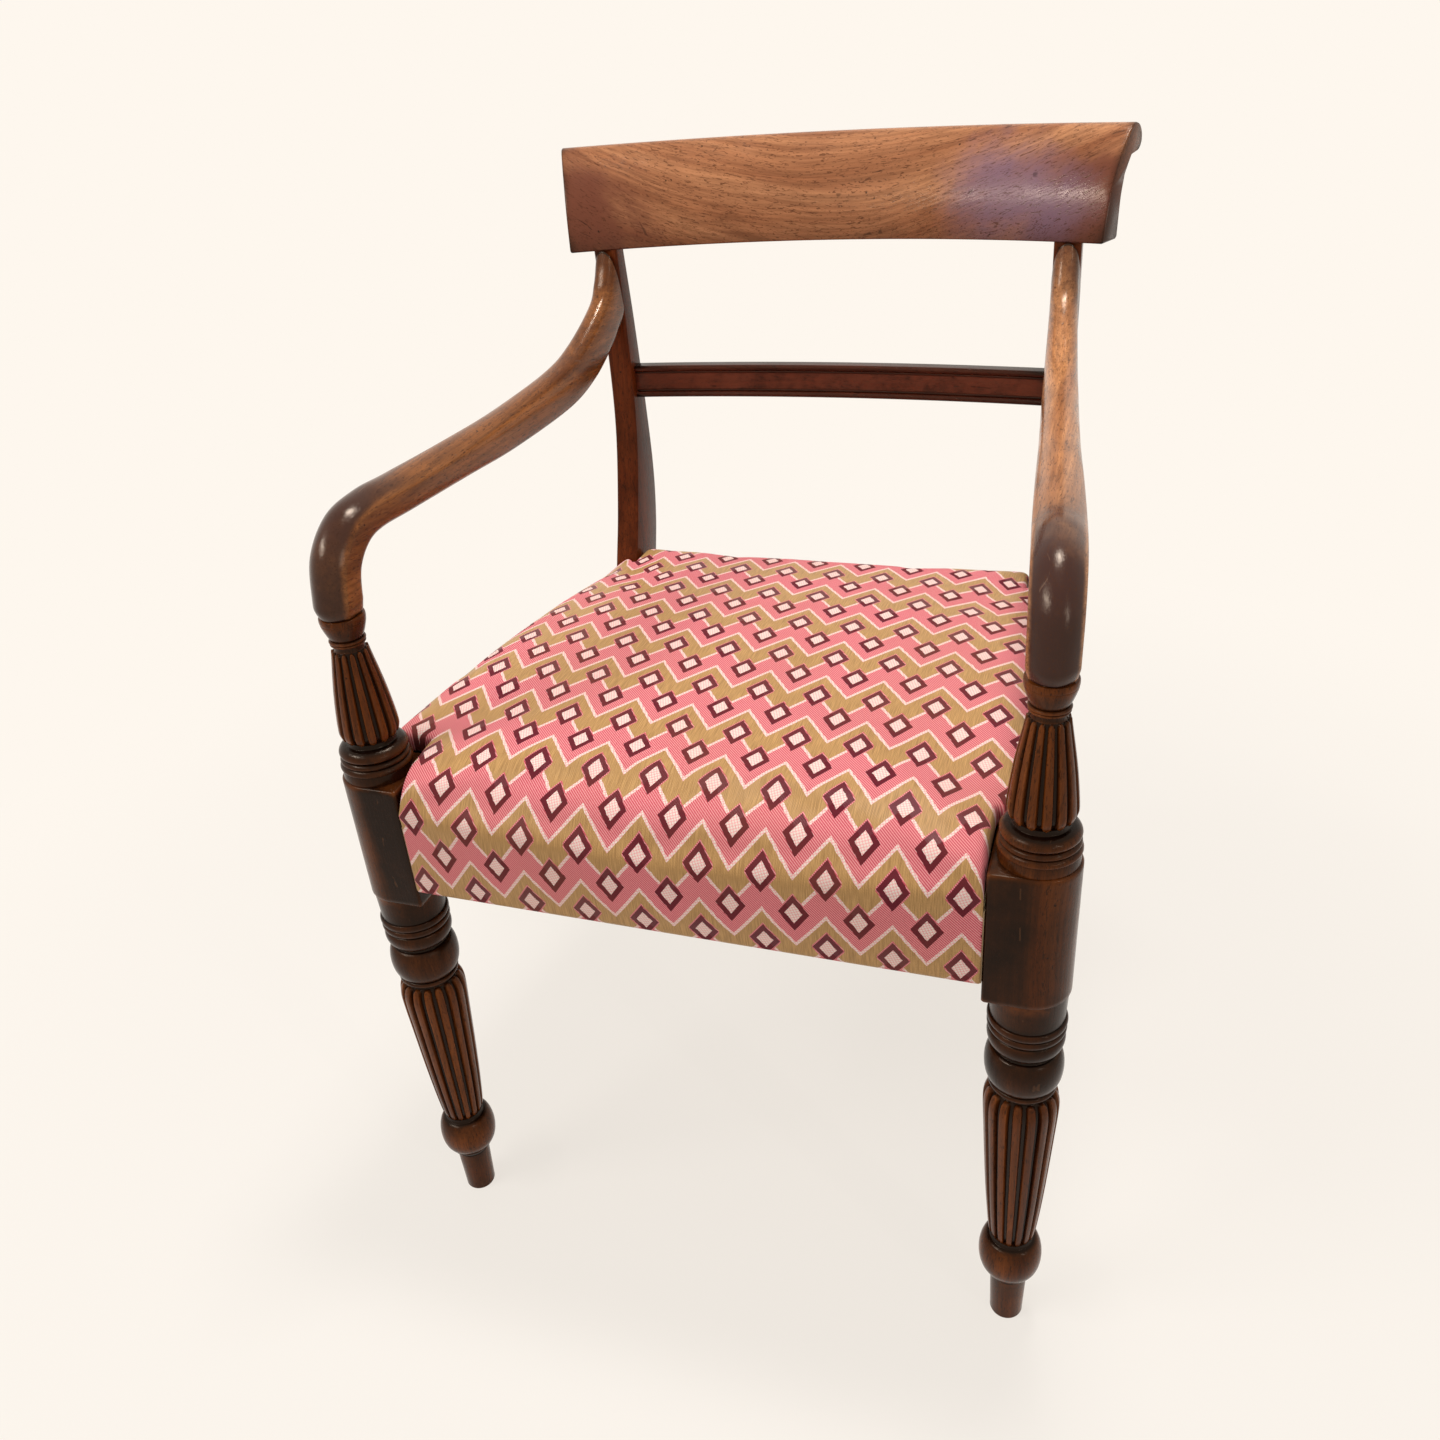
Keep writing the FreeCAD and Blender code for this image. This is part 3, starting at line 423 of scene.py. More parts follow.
def new_piece(piece_name, shell, material, slot, *nodes):
    """A piece in the place of these nodes."""
    mesh = new_mesh(piece_name, shell.corners, shell.faces)
    for name, values in (("hollow", shell.hollows), ("aged", shell.ages)):
        mesh.attributes.new(name, "FLOAT", "POINT").data.foreach_set("value", values)
    mesh.shade_smooth()
    mesh.set_sharp_from_angle(angle=SHARP_ANGLE)
    mesh.materials.append(material)
    piece = new_object(piece_name, mesh)
    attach(piece, BODY)
    if nodes:
        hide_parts(*nodes)
    return piece


def new_pair(node, shell, right_wood, left_wood):
    """A member of the frame on the right, and its mirror image on the left."""
    new_piece(node + "_right_finish", shell, right_wood, MAHOGANY_SLOT, node + "_right")
    new_piece(node + "_left_finish", shell.across(), left_wood, MAHOGANY_SLOT, node + "_left")


# Front posts

def turned_profile(members, z, radius):
    """Heights and radii along a stack of turned members."""
    profile = [(z, radius)]
    for height, middle, top in members:
        swell = middle - (radius + top) / 2
        steps = MEMBER_STEPS if abs(swell) > STRAIGHT else 2
        for i in range(1, steps + 1):
            turn = math.pi * i / steps
            share = (1 - math.cos(turn)) / 2
            r = blend_between(radius, top, share) + swell * math.sin(turn)
            profile.append((z + height * share, r))
        z += height
        radius = top
    return profile


def add_turned(shell, members, z, radius, age):
    profile = turned_profile(members, z, radius)
    turns = [2 * math.pi * i / LATHE_SIDES for i in range(LATHE_SIDES)]
    rings = []
    hollows = []
    for height, r in profile:
        peak = max(other for at, other in profile if abs(at - height) < HOLLOW_WINDOW)
        hollows.append([min(1.0, (peak - r) / HOLLOW_DEPTH)] * LATHE_SIDES)
        rings.append([point(post_x + r * math.cos(a), r * math.sin(a), height) for a in turns])
    shell.add_skin(rings, hollows, age)


def add_reeds(shell, levels, z, height, count, rows):
    """A reeded shaft: flat-topped reeds with rounded tips, and round grooves between them."""
    levels = smooth_rows(levels, REED_LEVELS)
    rings = []
    hollows = []
    for row in range(rows + 1):
        share = (1 - math.cos(math.pi * row / rows)) / 2
        radius = value_along(levels, share)
        from_tip = min(1.0, min(share, 1 - share) * height / REED_TIP)
        tip = math.sqrt(1 - (1 - from_tip) ** 2)
        ring = []
        deep = []
        for i in range(count * REED_STEPS):
            from_middle = abs((i / REED_STEPS + 0.5) % 1 - 0.5) * 2
            inside = REED_SHARE * tip + REED_SOFTNESS - from_middle
            standing = eased(inside / (2 * REED_SOFTNESS)) * min(1.0, 4 * tip)
            crown = 1 - REED_CROWN * (from_middle / REED_SHARE) ** 2
            r = radius * (1 - REED_DEPTH * (1 - standing)) * blend_between(1.0, crown, standing)
            turn = 2 * math.pi * i / (count * REED_STEPS)
            ring.append(point(post_x + r * math.cos(turn), r * math.sin(turn), z + share * height))
            deep.append(1 - standing)
        rings.append(ring)
        hollows.append(deep)
    shell.add_skin(rings, hollows, REED_AGE)


def block_outline(inset):
    """Plan of the seat block: half round on the outer half, square on the inner half."""
    half = BLOCK_HALF - inset
    inner = BLOCK_INNER - inset
    soft = BLOCK_ROUNDING
    arc = [math.pi * (i / BLOCK_ARC_STEPS - 0.5) for i in range(BLOCK_ARC_STEPS + 1)]
    corners = [(half * math.cos(turn), half * math.sin(turn)) for turn in arc]
    flat = [-(inner - soft) * i / 6 for i in range(1, 6)]
    corners += [(x, half) for x in flat]
    for sign, start in ((1, 0.5), (-1, 1.0)):
        for i in range(CORNER_STEPS + 1):
            turn = math.pi * (start + 0.5 * i / CORNER_STEPS)
            x = soft - inner + soft * math.cos(turn)
            corners.append((x, sign * (half - soft) + soft * math.sin(turn)))
        if sign > 0:
            corners += [(-inner, (half - soft) * (1 - i / 3)) for i in range(1, 6)]
    return corners + [(x, -half) for x in reversed(flat)]


def add_block(shell):
    levels = [(block_z + rise, inset) for rise, inset in BLOCK_EDGE]
    levels += [(blend_between(block_z, ring_z, i / BLOCK_ROWS), 0.0) for i in range(1, BLOCK_ROWS)]
    levels += [(ring_z - rise, inset) for rise, inset in reversed(BLOCK_EDGE)]
    rings = [[point(post_x + x, back, z) for x, back in block_outline(inset)] for z, inset in levels]
    ages = []
    for x, back in block_outline(0):
        ages.append(blend_between(BLOCK_AGE, BLOCK_ROUND_AGE, eased(0.4 + x / BLOCK_AGE_WIDTH)))
    shell.add_skin(rings, ages=[ages] * len(rings))


def front_post():
    shell = Shell()
    add_turned(shell, FOOT_TURNING, 0.0, TOE_RADIUS, FOOT_AGE)
    add_reeds(shell, LEG_REEDS, foot_height, LEG_REED_HEIGHT, LEG_REED_COUNT, LEG_REED_ROWS)
    add_turned(shell, VASE_TURNING, vase_z, COLLAR_RADIUS, VASE_AGE)
    add_block(shell)
    add_turned(shell, RING_TURNING, ring_z, RING_RADIUS, RING_AGE)
    add_reeds(shell, BELL_REEDS, bell_z, BELL_HEIGHT, BELL_REED_COUNT, BELL_REED_ROWS)
    add_turned(shell, CUP_TURNING, bell_z + BELL_HEIGHT, NECK_RADIUS, CUP_AGE)
    return shell


# Rear uprights

def rounded_box_ring(centre, across, along, half_across, half_along, rounding):
    """A rectangle with rounded corners, between two directions."""
    ring = []
    for quarter, (sign_across, sign_along) in enumerate(((1, 1), (-1, 1), (-1, -1), (1, -1))):
        for i in range(CORNER_STEPS + 1):
            turn = math.pi / 2 * (quarter + i / CORNER_STEPS)
            u = sign_across * (half_across - rounding) + rounding * math.cos(turn)
            v = sign_along * (half_along - rounding) + rounding * math.sin(turn)
            ring.append(centre + across * u + along * v)
    return ring


def rear_upright():
    shell = Shell()
    pairs = [front + back for front, back in zip(UPRIGHT_FRONT, UPRIGHT_BACK)]
    half_across = (stile_outer - stile_inner) / 2
    rings = []
    for front_back, front_z, rear_back, rear_z in smooth_rows(pairs, UPRIGHT_STEPS):
        front = point(stile_middle, seat_depth + front_back, front_z)
        rear = point(stile_middle, seat_depth + rear_back, rear_z)
        middle = (front + rear) / 2
        depth = rear - front
        rings.append(rounded_box_ring(middle, Vector((1, 0, 0)), depth.normalized(),
                                      half_across, depth.length / 2, UPRIGHT_ROUNDING))
    shell.add_skin(rings, ages=UPRIGHT_AGE)
    return shell


# Crest rail and mid rail

def arc_points(a, middle, b, steps):
    """Points along the circle through three points of (back, height)."""
    a, middle, b = (Vector(place) for place in (a, middle, b))
    p, q = middle - a, b - a
    aside = Vector((q.y * p.dot(p) - p.y * q.dot(q), p.x * q.dot(q) - q.x * p.dot(p)))
    centre = a + aside / (2 * (p.x * q.y - p.y * q.x))
    start = a - centre
    turn_middle = start.angle_signed(middle - centre)
    turn = start.angle_signed(b - centre)
    if turn * turn_middle < 0:
        turn -= math.copysign(2 * math.pi, turn)
    return [centre + Matrix.Rotation(-turn * i / steps, 2) @ start for i in range(steps + 1)]


def crest_outline():
    """From the lower front edge up the hollow front, over the roll and down the back."""
    reach = CREST_ROLL_REACH
    top = CREST_HEIGHT
    thick = CREST_THICK
    soft = CREST_ROUNDING
    front_low = (0.04 * reach, 0.20 * top)
    front_top = (0.64 * reach, 0.965 * top)
    nose = (reach, 0.87 * top)
    under_roll = (0.86 * reach, 0.765 * top)
    throat = (0.71 * reach, 0.75 * top)
    rear_low = (1.05 * thick, 0.32 * top)
    outline = arc_points((soft, 0), (0.3 * soft, 0.3 * soft), (0, soft), 4)
    outline += arc_points(front_low, (0.285 * reach, 0.655 * top), front_top, 18)
    outline += arc_points(front_top, (0.86 * reach, top), nose, 12)[1:]
    outline += arc_points(nose, (0.965 * reach, 0.795 * top), under_roll, 6)[1:]
    outline += arc_points(throat, (0.555 * reach, 0.59 * top), rear_low, 10)
    outline += arc_points((thick, soft), (thick - 0.3 * soft, 0.3 * soft), (thick - soft, 0), 4)
    return outline


def swept_stations(half_angle, steps, end_angle):
    """Angles along a bowed rail, each with the share of the rounding taken off there."""
    ends = [(share * end_angle - half_angle, inset) for share, inset in ((0.0, 1.0), (0.3, 0.35), (1.0, 0.0))]
    middle = [(blend_between(-half_angle, half_angle, i / steps), 0.0) for i in range(1, steps)]
    return ends + middle + [(-angle, inset) for angle, inset in reversed(ends)]


def swept_rail(outline, axis_back, radius, z, half_span, steps, rounding, ages):
    """An outline of (back, height) swept round an upright axis, with rounded ends."""
    middle = sum(outline, Vector((0, 0))) / len(outline)
    height = max(place.y for place in outline)
    # The upper part of a rail gets less of the old dark colour: a painted highlight from the light above, and
    # polish rubbed thin there.
    lighter_top = [1 - LIGHTER_TOP_SHARE * eased((place.y / height - LIGHTER_TOP_FROM) / LIGHTER_TOP_OVER) for place in outline]
    half_angle = math.asin(half_span / radius)
    rings = []
    age_rows = []
    for angle, inset in swept_stations(half_angle, steps, rounding / radius):
        ring = []
        for place in outline:
            inward = middle - place
            place = place + inward.normalized() * min(inset * rounding, inward.length / 2)
            r = radius + place.x
            ring.append(point(r * math.sin(angle), axis_back + r * math.cos(angle), z + place.y))
        rings.append(ring)
        age = blend_between(*ages, eased(2 * abs(angle) / half_angle - 0.9))
        age_rows.append([share * age for share in lighter_top])
    shell = Shell()
    shell.add_skin(rings, ages=age_rows)
    return shell


def crest_rail():
    return swept_rail(crest_outline(), crest_axis, CREST_RADIUS, crest_bottom, CREST_HALF_SPAN,
                      CREST_STEPS, CREST_ROUNDING, CREST_AGES)


def mid_rail_outline():
    """A round bead and a fine reed along each edge, on either side of a sunk flat."""
    height = mid_high.z - mid_low.z
    reed_top = MID_BEAD + MID_REED
    reed_middle = (MID_SINK - MID_REED / 2, MID_BEAD + MID_REED / 2)
    lower = arc_points((MID_SINK, 0), (0, MID_BEAD / 2), (MID_SINK, MID_BEAD), 8)
    lower += arc_points((MID_SINK, MID_BEAD), reed_middle, (MID_SINK, reed_top), 6)[1:]
    upper = [Vector((place.x, height - place.y)) for place in reversed(lower)]
    levels = [height * (1 - i / MID_REAR_STEPS) for i in range(1, MID_REAR_STEPS)]
    levels = [height - MID_ROUNDING, *levels, MID_ROUNDING]
    soft = MID_RAIL_THICK - MID_ROUNDING
    rear = [(soft, height), *[(MID_RAIL_THICK, z) for z in levels], (soft, 0)]
    return lower + upper + [Vector(place) for place in rear]


def mid_rail():
    half_span = stile_inner + MID_RAIL_ENTRY
    radius = (half_span**2 + MID_RAIL_SAG**2) / (2 * MID_RAIL_SAG)
    axis_back = mid_high.y - post_y - MID_RAIL_THICK - radius
    return swept_rail(mid_rail_outline(), axis_back, radius, mid_low.z, half_span,
                      MID_STEPS, MID_END_ROUNDING, MID_AGES)


# Arms

def arm_stations():
    """Run and height of the arm's top and of its underside, and its width, along the arm."""
    bend = ARM_BEND_RADIUS
    bend_z = post_top + ARM_END_DROP
    outer = bend + ARM_THICK / 2
    inner = bend - ARM_THICK / 2
    stations = [(bend - outer - ARM_NOSE, post_top, bend - inner, post_top, ARM_END_WIDTH)]
    for degrees in ARM_BEND_DEGREES:
        turn = math.radians(degrees)
        reach = outer - ARM_NOSE * math.cos(turn)
        stations.append((
            bend + reach * math.cos(turn), bend_z + reach * math.sin(turn),
            bend + inner * math.cos(turn), bend_z + inner * math.sin(turn),
            blend_between(ARM_END_WIDTH, ARM_WIDTH, math.sin(turn))))
    flat_run = (2 * bend + stile_run - ARM_REAR[0][0]) / 3
    stations.append((flat_run, bend_z + outer, flat_run, bend_z + inner, ARM_WIDTH))
    for ahead, share, under_ahead, under_share, width in ARM_REAR:
        stations.append((stile_run - ahead, post_top + share * arm_rise,
                         stile_run - under_ahead, post_top + under_share * arm_rise, width))
    return stations


def arm_ring(top, under, width, size, ridged):
    """A section of the arm: a crown with a soft ridge on each side, over a squarer lower half."""
    centre = (top + under) / 2
    up = (top - under) / 2
    ring = []
    for i in range(ARM_SIDES):
        turn = 2 * math.pi * i / ARM_SIDES
        power = 2 / (ARM_CROWN_POWER if math.sin(turn) > 0 else ARM_UNDER_POWER)
        u = math.copysign(abs(math.cos(turn)) ** power, math.cos(turn))
        v = math.copysign(abs(math.sin(turn)) ** power, math.sin(turn))
        if math.sin(turn) > 0:
            crown = ARM_RIDGE + (1 - ARM_RIDGE) * (1 - u * u)
            v = blend_between(v, min(crown, v + ARM_RIDGE_LIFT), ridged)
        ring.append(centre + (arm_sideways * (u * width / 2) + up * v) * size)
    return ring


def arm_ages(run, rise):
    """Ages round a section of the arm: darkest on top where hands rest, and darker below the crest and on the
    underside.
    """
    start, length = ARM_HAND_FADE
    handled = ARM_HAND_AGE * (1 - eased((run - start) / length))
    # darker below the crest
    base = ARM_AGE + ARM_UNDER_CREST_DARKER * eased(3 * rise / arm_rise - 2)
    ages = []
    for i in range(ARM_SIDES):
        upward = math.sin(2 * math.pi * i / ARM_SIDES)
        # the underside is made darker
        ages.append(base + ARM_UNDERSIDE_DARKER * (upward < 0) + handled * eased((upward - 0.3) / 0.4))
    return ages


def arm():
    def at(run, z):
        return point(post_x, 0, z) + arm_aim * run

    rings = []
    ages = []
    for run, z, under_run, under_z, width in smooth_rows(arm_stations(), ARM_STEPS):
        size = 1.0
        if run < 0:
            rounded = math.sqrt(min(1.0, max(0.0, (z - post_top) / ARM_END_ROUNDING)))
            size = 1 - ARM_END_TAPER * (1 - rounded)
        ridged = ARM_RIDGE_SHARE * (1 - eased((run - ARM_RIDGE_FADE[0]) / ARM_RIDGE_FADE[1]))
        rings.append(arm_ring(at(run, z), at(under_run, under_z), width, size, ridged))
        ages.append(arm_ages(run, z - post_top))
    shell = Shell()
    shell.add_skin(rings, ages=ages)
    return shell


# Materials

class Wiring:
    """The nodes of a material or a group, with short ways to add to them."""

    def __init__(self, tree):
        self.tree = tree

    def set(self, socket, value):
        """Gives a socket a link, a number, a vector or a colour."""
        if isinstance(value, bpy.types.NodeSocket):
            self.tree.links.new(value, socket)
        else:
            socket.default_value = (*value, 1.0) if socket.type == "RGBA" else value

    def add(self, kind, **settings):
        node = self.tree.nodes.new("ShaderNode" + kind)
        for name, value in settings.items():
            setattr(node, name, value)
        return node

    def fill(self, node, values):
        """Sets a node's inputs by their names or numbers."""
        for name, value in values.items():
            self.set(node.inputs[name], value)
        return node

    def math(self, operation, *values):
        return self.fill(self.add("Math", operation=operation), dict(enumerate(values))).outputs[0]

    def plus(self, a, b):
        return self.math("ADD", a, b)

    def minus(self, a, b):
        return self.math("SUBTRACT", a, b)

    def times(self, a, b):
        return self.math("MULTIPLY", a, b)

    def vector(self, operation, *values):
        node = self.fill(self.add("VectorMath", operation=operation), dict(enumerate(values)))
        return node.outputs["Value" if operation == "LENGTH" else "Vector"]

    def mix(self, share, a, b):
        return self.fill(self.add("Mix", data_type="RGBA"), {0: share, 6: a, 7: b}).outputs[2]

    def layer(self, colour, mask, strength, over):
        """Lays a colour over another where a mask says so."""
        return self.mix(self.times(mask, strength), colour, over)

    def range(self, value, low, high, to_low=0.0, to_high=1.0):
        """Maps a value from one range to another, with smooth ends."""
        node = self.add("MapRange", interpolation_type="SMOOTHSTEP")
        self.fill(node, {"Value": value, "From Min": low, "From Max": high})
        return self.fill(node, {"To Min": to_low, "To Max": to_high}).outputs["Result"]

    def noise(self, vector, scale, detail=3.0, roughness=0.55, distortion=0.0):
        node = self.fill(self.add("TexNoise"), {"Vector": vector, "Scale": scale, "Detail": detail})
        return self.fill(node, {"Roughness": roughness, "Distortion": distortion}).outputs["Fac"]

    def stretch(self, vector, scale, offset=(0.0, 0.0, 0.0)):
        node = self.add("Mapping")
        return self.fill(node, {"Vector": vector, "Scale": scale, "Location": offset}).outputs["Vector"]

    def streaks(self, vector, scale, detail, roughness=0.55, distortion=0.0):
        """Noise that is drawn out along an axis."""
        return self.noise(self.stretch(vector, scale), 1.0, detail, roughness, distortion)

    def split(self, vector):
        return self.fill(self.add("SeparateXYZ"), {"Vector": vector}).outputs

    def place(self):
        """Places on the piece, in metres."""
        return self.add("TexCoord").outputs["Object"]

    def attribute(self, name):
        return self.add("Attribute", attribute_name=name).outputs["Fac"]

    def group(self, group, **values):
        return self.fill(self.add("Group", node_tree=group), values).outputs

    def bump(self, shader, height, strength, distance):
        node = self.fill(self.add("Bump"), {"Height": height, "Strength": strength, "Distance": distance})
        self.set(shader.inputs["Normal"], node.outputs["Normal"])

    def mix_shaders(self, share, a, b):
        return self.fill(self.add("MixShader"), {0: share, 1: a.outputs[0], 2: b.outputs[0]})

    def seen_directly(self):
        """1 for what the camera sees, also by reflection and through glass."""
        path = self.add("LightPath").outputs
        seen = self.math("MAXIMUM", path["Is Camera Ray"], path["Is Glossy Ray"])
        return self.math("MAXIMUM", seen, path["Is Transmission Ray"])


def new_material(name):
    material = bpy.data.materials.new(name)
    material.use_nodes = True
    return material, Wiring(material.node_tree), material.node_tree.nodes["Principled BSDF"]


def new_group(name, masks, *values):
    """An empty shader group that is given a vector, and maybe values, and puts out masks."""
    group = bpy.data.node_groups.new(name, "ShaderNodeTree")
    group.interface.new_socket("Vector", in_out="INPUT", socket_type="NodeSocketVector")
    for value in values:
        group.interface.new_socket(value, in_out="INPUT", socket_type="NodeSocketFloat")
    for mask in masks:
        group.interface.new_socket(mask, in_out="OUTPUT", socket_type="NodeSocketFloat")
    given = group.nodes.new("NodeGroupInput").outputs
    return group, Wiring(group), given, group.nodes.new("NodeGroupOutput")


def grain_group():
    """Wood figure. The grain runs along X of the vector that it is given."""
    group, wiring, given, result = new_group("MahoganyGrain", ("Ribbon", "Line", "Pore", "Cloud"))
    vector = given["Vector"]
    sway = wiring.streaks(vector, (3.0, 9.0, 9.0), 2.0)
    flow = wiring.vector("MULTIPLY_ADD", sway, (0.0, GRAIN_SWAY, GRAIN_SWAY), vector)
    ribbon = wiring.streaks(flow, (2.0, 38.0, 38.0), 3.0, 0.6)
    line = wiring.streaks(flow, (7.0, 300.0, 300.0), 4.0, 0.7)
    pore = wiring.streaks(flow, (150.0, 760.0, 760.0), 2.0, 0.55, 1.2)
    wiring.fill(result, {
        "Ribbon": wiring.range(ribbon, 0.3, 0.7),
        "Line": wiring.range(line, 0.3, 0.7),
        "Pore": wiring.range(pore, 0.55, 0.66),
        "Cloud": wiring.range(wiring.noise(vector, 13.0, 5.0, 0.6), 0.3, 0.7),
    })
    return group


def wear_group():
    """Masks of old polish: dark build-up in hollows, rubbed edges that also serve as painted highlights,
    scratches, pits and smears.
    """
    masks = ("Dark", "RubbedAndHighlight", "Scratch", "Pit", "Smear")
    group, wiring, given, result = new_group("OldPolish", masks, "Hollow")
    vector = given["Vector"]
    pointy = wiring.add("NewGeometry").outputs["Pointiness"]
    patchy = wiring.range(wiring.noise(vector, 45.0, 5.0, 0.65), 0.35, 0.6)
    swirl = wiring.streaks(vector, (7.0, 75.0, 62.0), 0.0)
    contour = wiring.math("ABSOLUTE", wiring.minus(swirl, 0.5))
    sparse = wiring.range(wiring.noise(vector, 52.0, 2.0), 0.62, 0.66)
    dots = wiring.fill(wiring.add("TexVoronoi"), {"Vector": vector, "Scale": 90.0})
    few = wiring.range(wiring.noise(vector, 60.0, 1.0), 0.58, 0.62)
    wiring.fill(result, {
        "Dark": wiring.math("MAXIMUM", given["Hollow"], wiring.range(pointy, 0.49, 0.44)),
        "RubbedAndHighlight": wiring.times(wiring.range(pointy, 0.51, 0.57), patchy),
        "Scratch": wiring.times(wiring.range(contour, 0.022, 0.01), sparse),
        "Pit": wiring.times(wiring.range(dots.outputs["Distance"], 0.11, 0.06), few),
        "Smear": wiring.range(wiring.noise(vector, 22.0, 5.0, 0.62), 0.3, 0.7),
    })
    return group


def grain_vector(wiring, order, bend):
    """Places on the piece with the grain's direction first. bend curves the grain along its run."""
    parts = wiring.split(wiring.place())
    along, aside, across = (parts[axis] for axis in order)
    curve = wiring.times(wiring.times(along, along), bend)
    joined = wiring.fill(wiring.add("CombineXYZ"), {"X": along, "Y": aside, "Z": wiring.minus(across, curve)})
    return joined.outputs["Vector"]


def reflection_haze_patch(wiring, cloud):
    """Mask of a cloudy patch on the front of the crest: a painted reflection of the sky on its front faces,
    partly a bloom in the polish.
    """
    haze_z = crest_bottom * MM + HAZE_RISE
    scale = (1 / HAZE_WIDTH, 0.0, 1 / HAZE_HEIGHT)
    offset = (-HAZE_X / HAZE_WIDTH, 0.0, -haze_z / HAZE_HEIGHT)
    from_middle = wiring.vector("LENGTH", wiring.stretch(wiring.place(), scale, offset))
    ragged = wiring.minus(from_middle, wiring.times(cloud, 0.5))
    facing = wiring.split(wiring.add("TexCoord").outputs["Normal"])
    in_front = wiring.range(facing["Y"], 0.0, -0.3)
    return wiring.times(in_front, wiring.range(ragged, 0.95, 0.0, 0.0, 0.85))


def mahogany(name, order, light, middle, deep, old, gloss, bend=0.0, mark=OLD_BLACK, bloom_and_reflection=None):
    """Polished mahogany. old is its colour under darkened polish, mark that of its scratches, and
    the last colour that of a hazy patch: a painted reflection of the sky, partly a bloom in the polish."""
    material, wiring, shader = new_material(name)
    vector = grain_vector(wiring, order, bend)
    grain = wiring.group(GRAIN, Vector=vector)
    wear = wiring.group(OLD_POLISH, Vector=vector, Hollow=wiring.attribute("hollow"))
    colour = wiring.mix(grain["Ribbon"], middle, light)
    colour = wiring.layer(colour, grain["Line"], 0.5, deep)
    spread = wiring.plus(wiring.attribute("aged"), wiring.times(grain["Cloud"], 0.5))
    colour = wiring.mix(wiring.range(spread, 0.25, 1.25), colour, old)
    # painted reflection of the sky on the crest's front, partly a bloom in the old polish
    if bloom_and_reflection:
        colour = wiring.mix(reflection_haze_patch(wiring, grain["Cloud"]), colour, bloom_and_reflection)
    colour = wiring.layer(colour, grain["Pore"], 0.7, deep)
    colour = wiring.layer(colour, wear["Dark"], 0.95, OLD_BLACK)
    # convex edges painted lighter: rubbed polish, and painted highlights along crests and beads
    colour = wiring.layer(colour, wear["RubbedAndHighlight"], 0.55, light)
    colour = wiring.layer(colour, wear["Pit"], 0.8, OLD_BLACK)
    colour = wiring.layer(colour, wear["Scratch"], 0.5, mark)
    cuts = wiring.plus(wiring.times(grain["Pore"], 1.2), wiring.plus(wear["Pit"], wear["Scratch"]))
    wiring.bump(shader, wiring.minus(grain["Line"], cuts), 0.12, 0.0004)
    wiring.fill(shader, {
        "Base Color": colour,
        "Roughness": wiring.range(wear["Smear"], 0.0, 1.0, 0.15, 0.27),
        "Specular IOR Level": gloss,
        "Specular Tint": WARM_GLOSS,
    })
    return material


GRAIN = grain_group()
OLD_POLISH = wear_group()
# The crest's last colour is its hazy patch: a painted reflection, partly a bloom in the polish.
crest_wood = mahogany("crest_mahogany", "XYZ", (0.52, 0.225, 0.1), (0.31, 0.108, 0.044), (0.06, 0.016, 0.006),
                      (0.15, 0.045, 0.024), 0.2, bend=1.1, bloom_and_reflection=(0.2, 0.115, 0.155))
# The arms are lit and shaded copies of one wood. Painted light makes the right arm's colours lighter, and
# painted shade makes the left arm's darker, as light comes from the left.
shaded_arm_wood = mahogany("shaded_arm_mahogany", "YXZ", (0.36, 0.125, 0.034), (0.14, 0.038, 0.009),
                         (0.035, 0.009, 0.003), (0.044, 0.015, 0.01), 0.3, mark=ARM_SCRATCH)
lit_arm_wood = mahogany("lit_arm_mahogany", "YXZ", (0.66, 0.28, 0.105), (0.4, 0.145, 0.052),
                          (0.06, 0.016, 0.006), (0.044, 0.015, 0.012), 0.3, mark=ARM_SCRATCH)
post_wood = mahogany("post_mahogany", "ZXY", (0.23, 0.058, 0.01), (0.1, 0.021, 0.0035), (0.02, 0.005, 0.0015),
                     (0.01, 0.0028, 0.001), 0.15, mark=POST_SCRATCH)
stile_wood = mahogany("stile_mahogany", "ZXY", (0.19, 0.039, 0.009), (0.1, 0.017, 0.004),
                      (0.025, 0.005, 0.002), (0.035, 0.007, 0.002), 0.1)
rail_wood = mahogany("mid_rail_mahogany", "XYZ", (0.19, 0.042, 0.019), (0.085, 0.017, 0.008),
                     (0.02, 0.004, 0.002), (0.025, 0.005, 0.003), 0.2)


# Seat materials

def flame_stitch_group():
    """Masks of a flame-stitch weave: zigzag bands, with lozenges on their points."""
    group, wiring, given, result = new_group("FlameStitch", ("Band", "Edge", "Core", "Ring", "Halo"))

    def off_middle(value):
        """How far the fraction of a value is from a half."""
        return wiring.math("ABSOLUTE", wiring.minus(wiring.math("FRACT", value), 0.5))

    parts = wiring.split(given["Vector"])
    across = wiring.math("DIVIDE", parts["X"], PATTERN_WIDTH)
    along = wiring.math("DIVIDE", parts["Y"], PATTERN_LENGTH)
    height = wiring.plus(along, off_middle(across))
    columns = wiring.times(wiring.plus(across, 0.25), 2.0)
    half_drop = wiring.times(wiring.math("FLOOR", columns), 0.5)
    rise = off_middle(wiring.plus(wiring.plus(along, 0.5), half_drop))
    lozenge = wiring.plus(wiring.times(off_middle(columns), 1.35), wiring.times(rise, 2.5))
    wiring.fill(result, {
        "Band": wiring.math("LESS_THAN", wiring.math("FRACT", height), 0.5),
        "Edge": wiring.math("GREATER_THAN", off_middle(wiring.times(height, 2.0)), 0.435),
        "Core": wiring.math("LESS_THAN", lozenge, 0.37),
        "Ring": wiring.math("LESS_THAN", lozenge, 0.66),
        "Halo": wiring.math("LESS_THAN", lozenge, 0.73),
    })
    return group


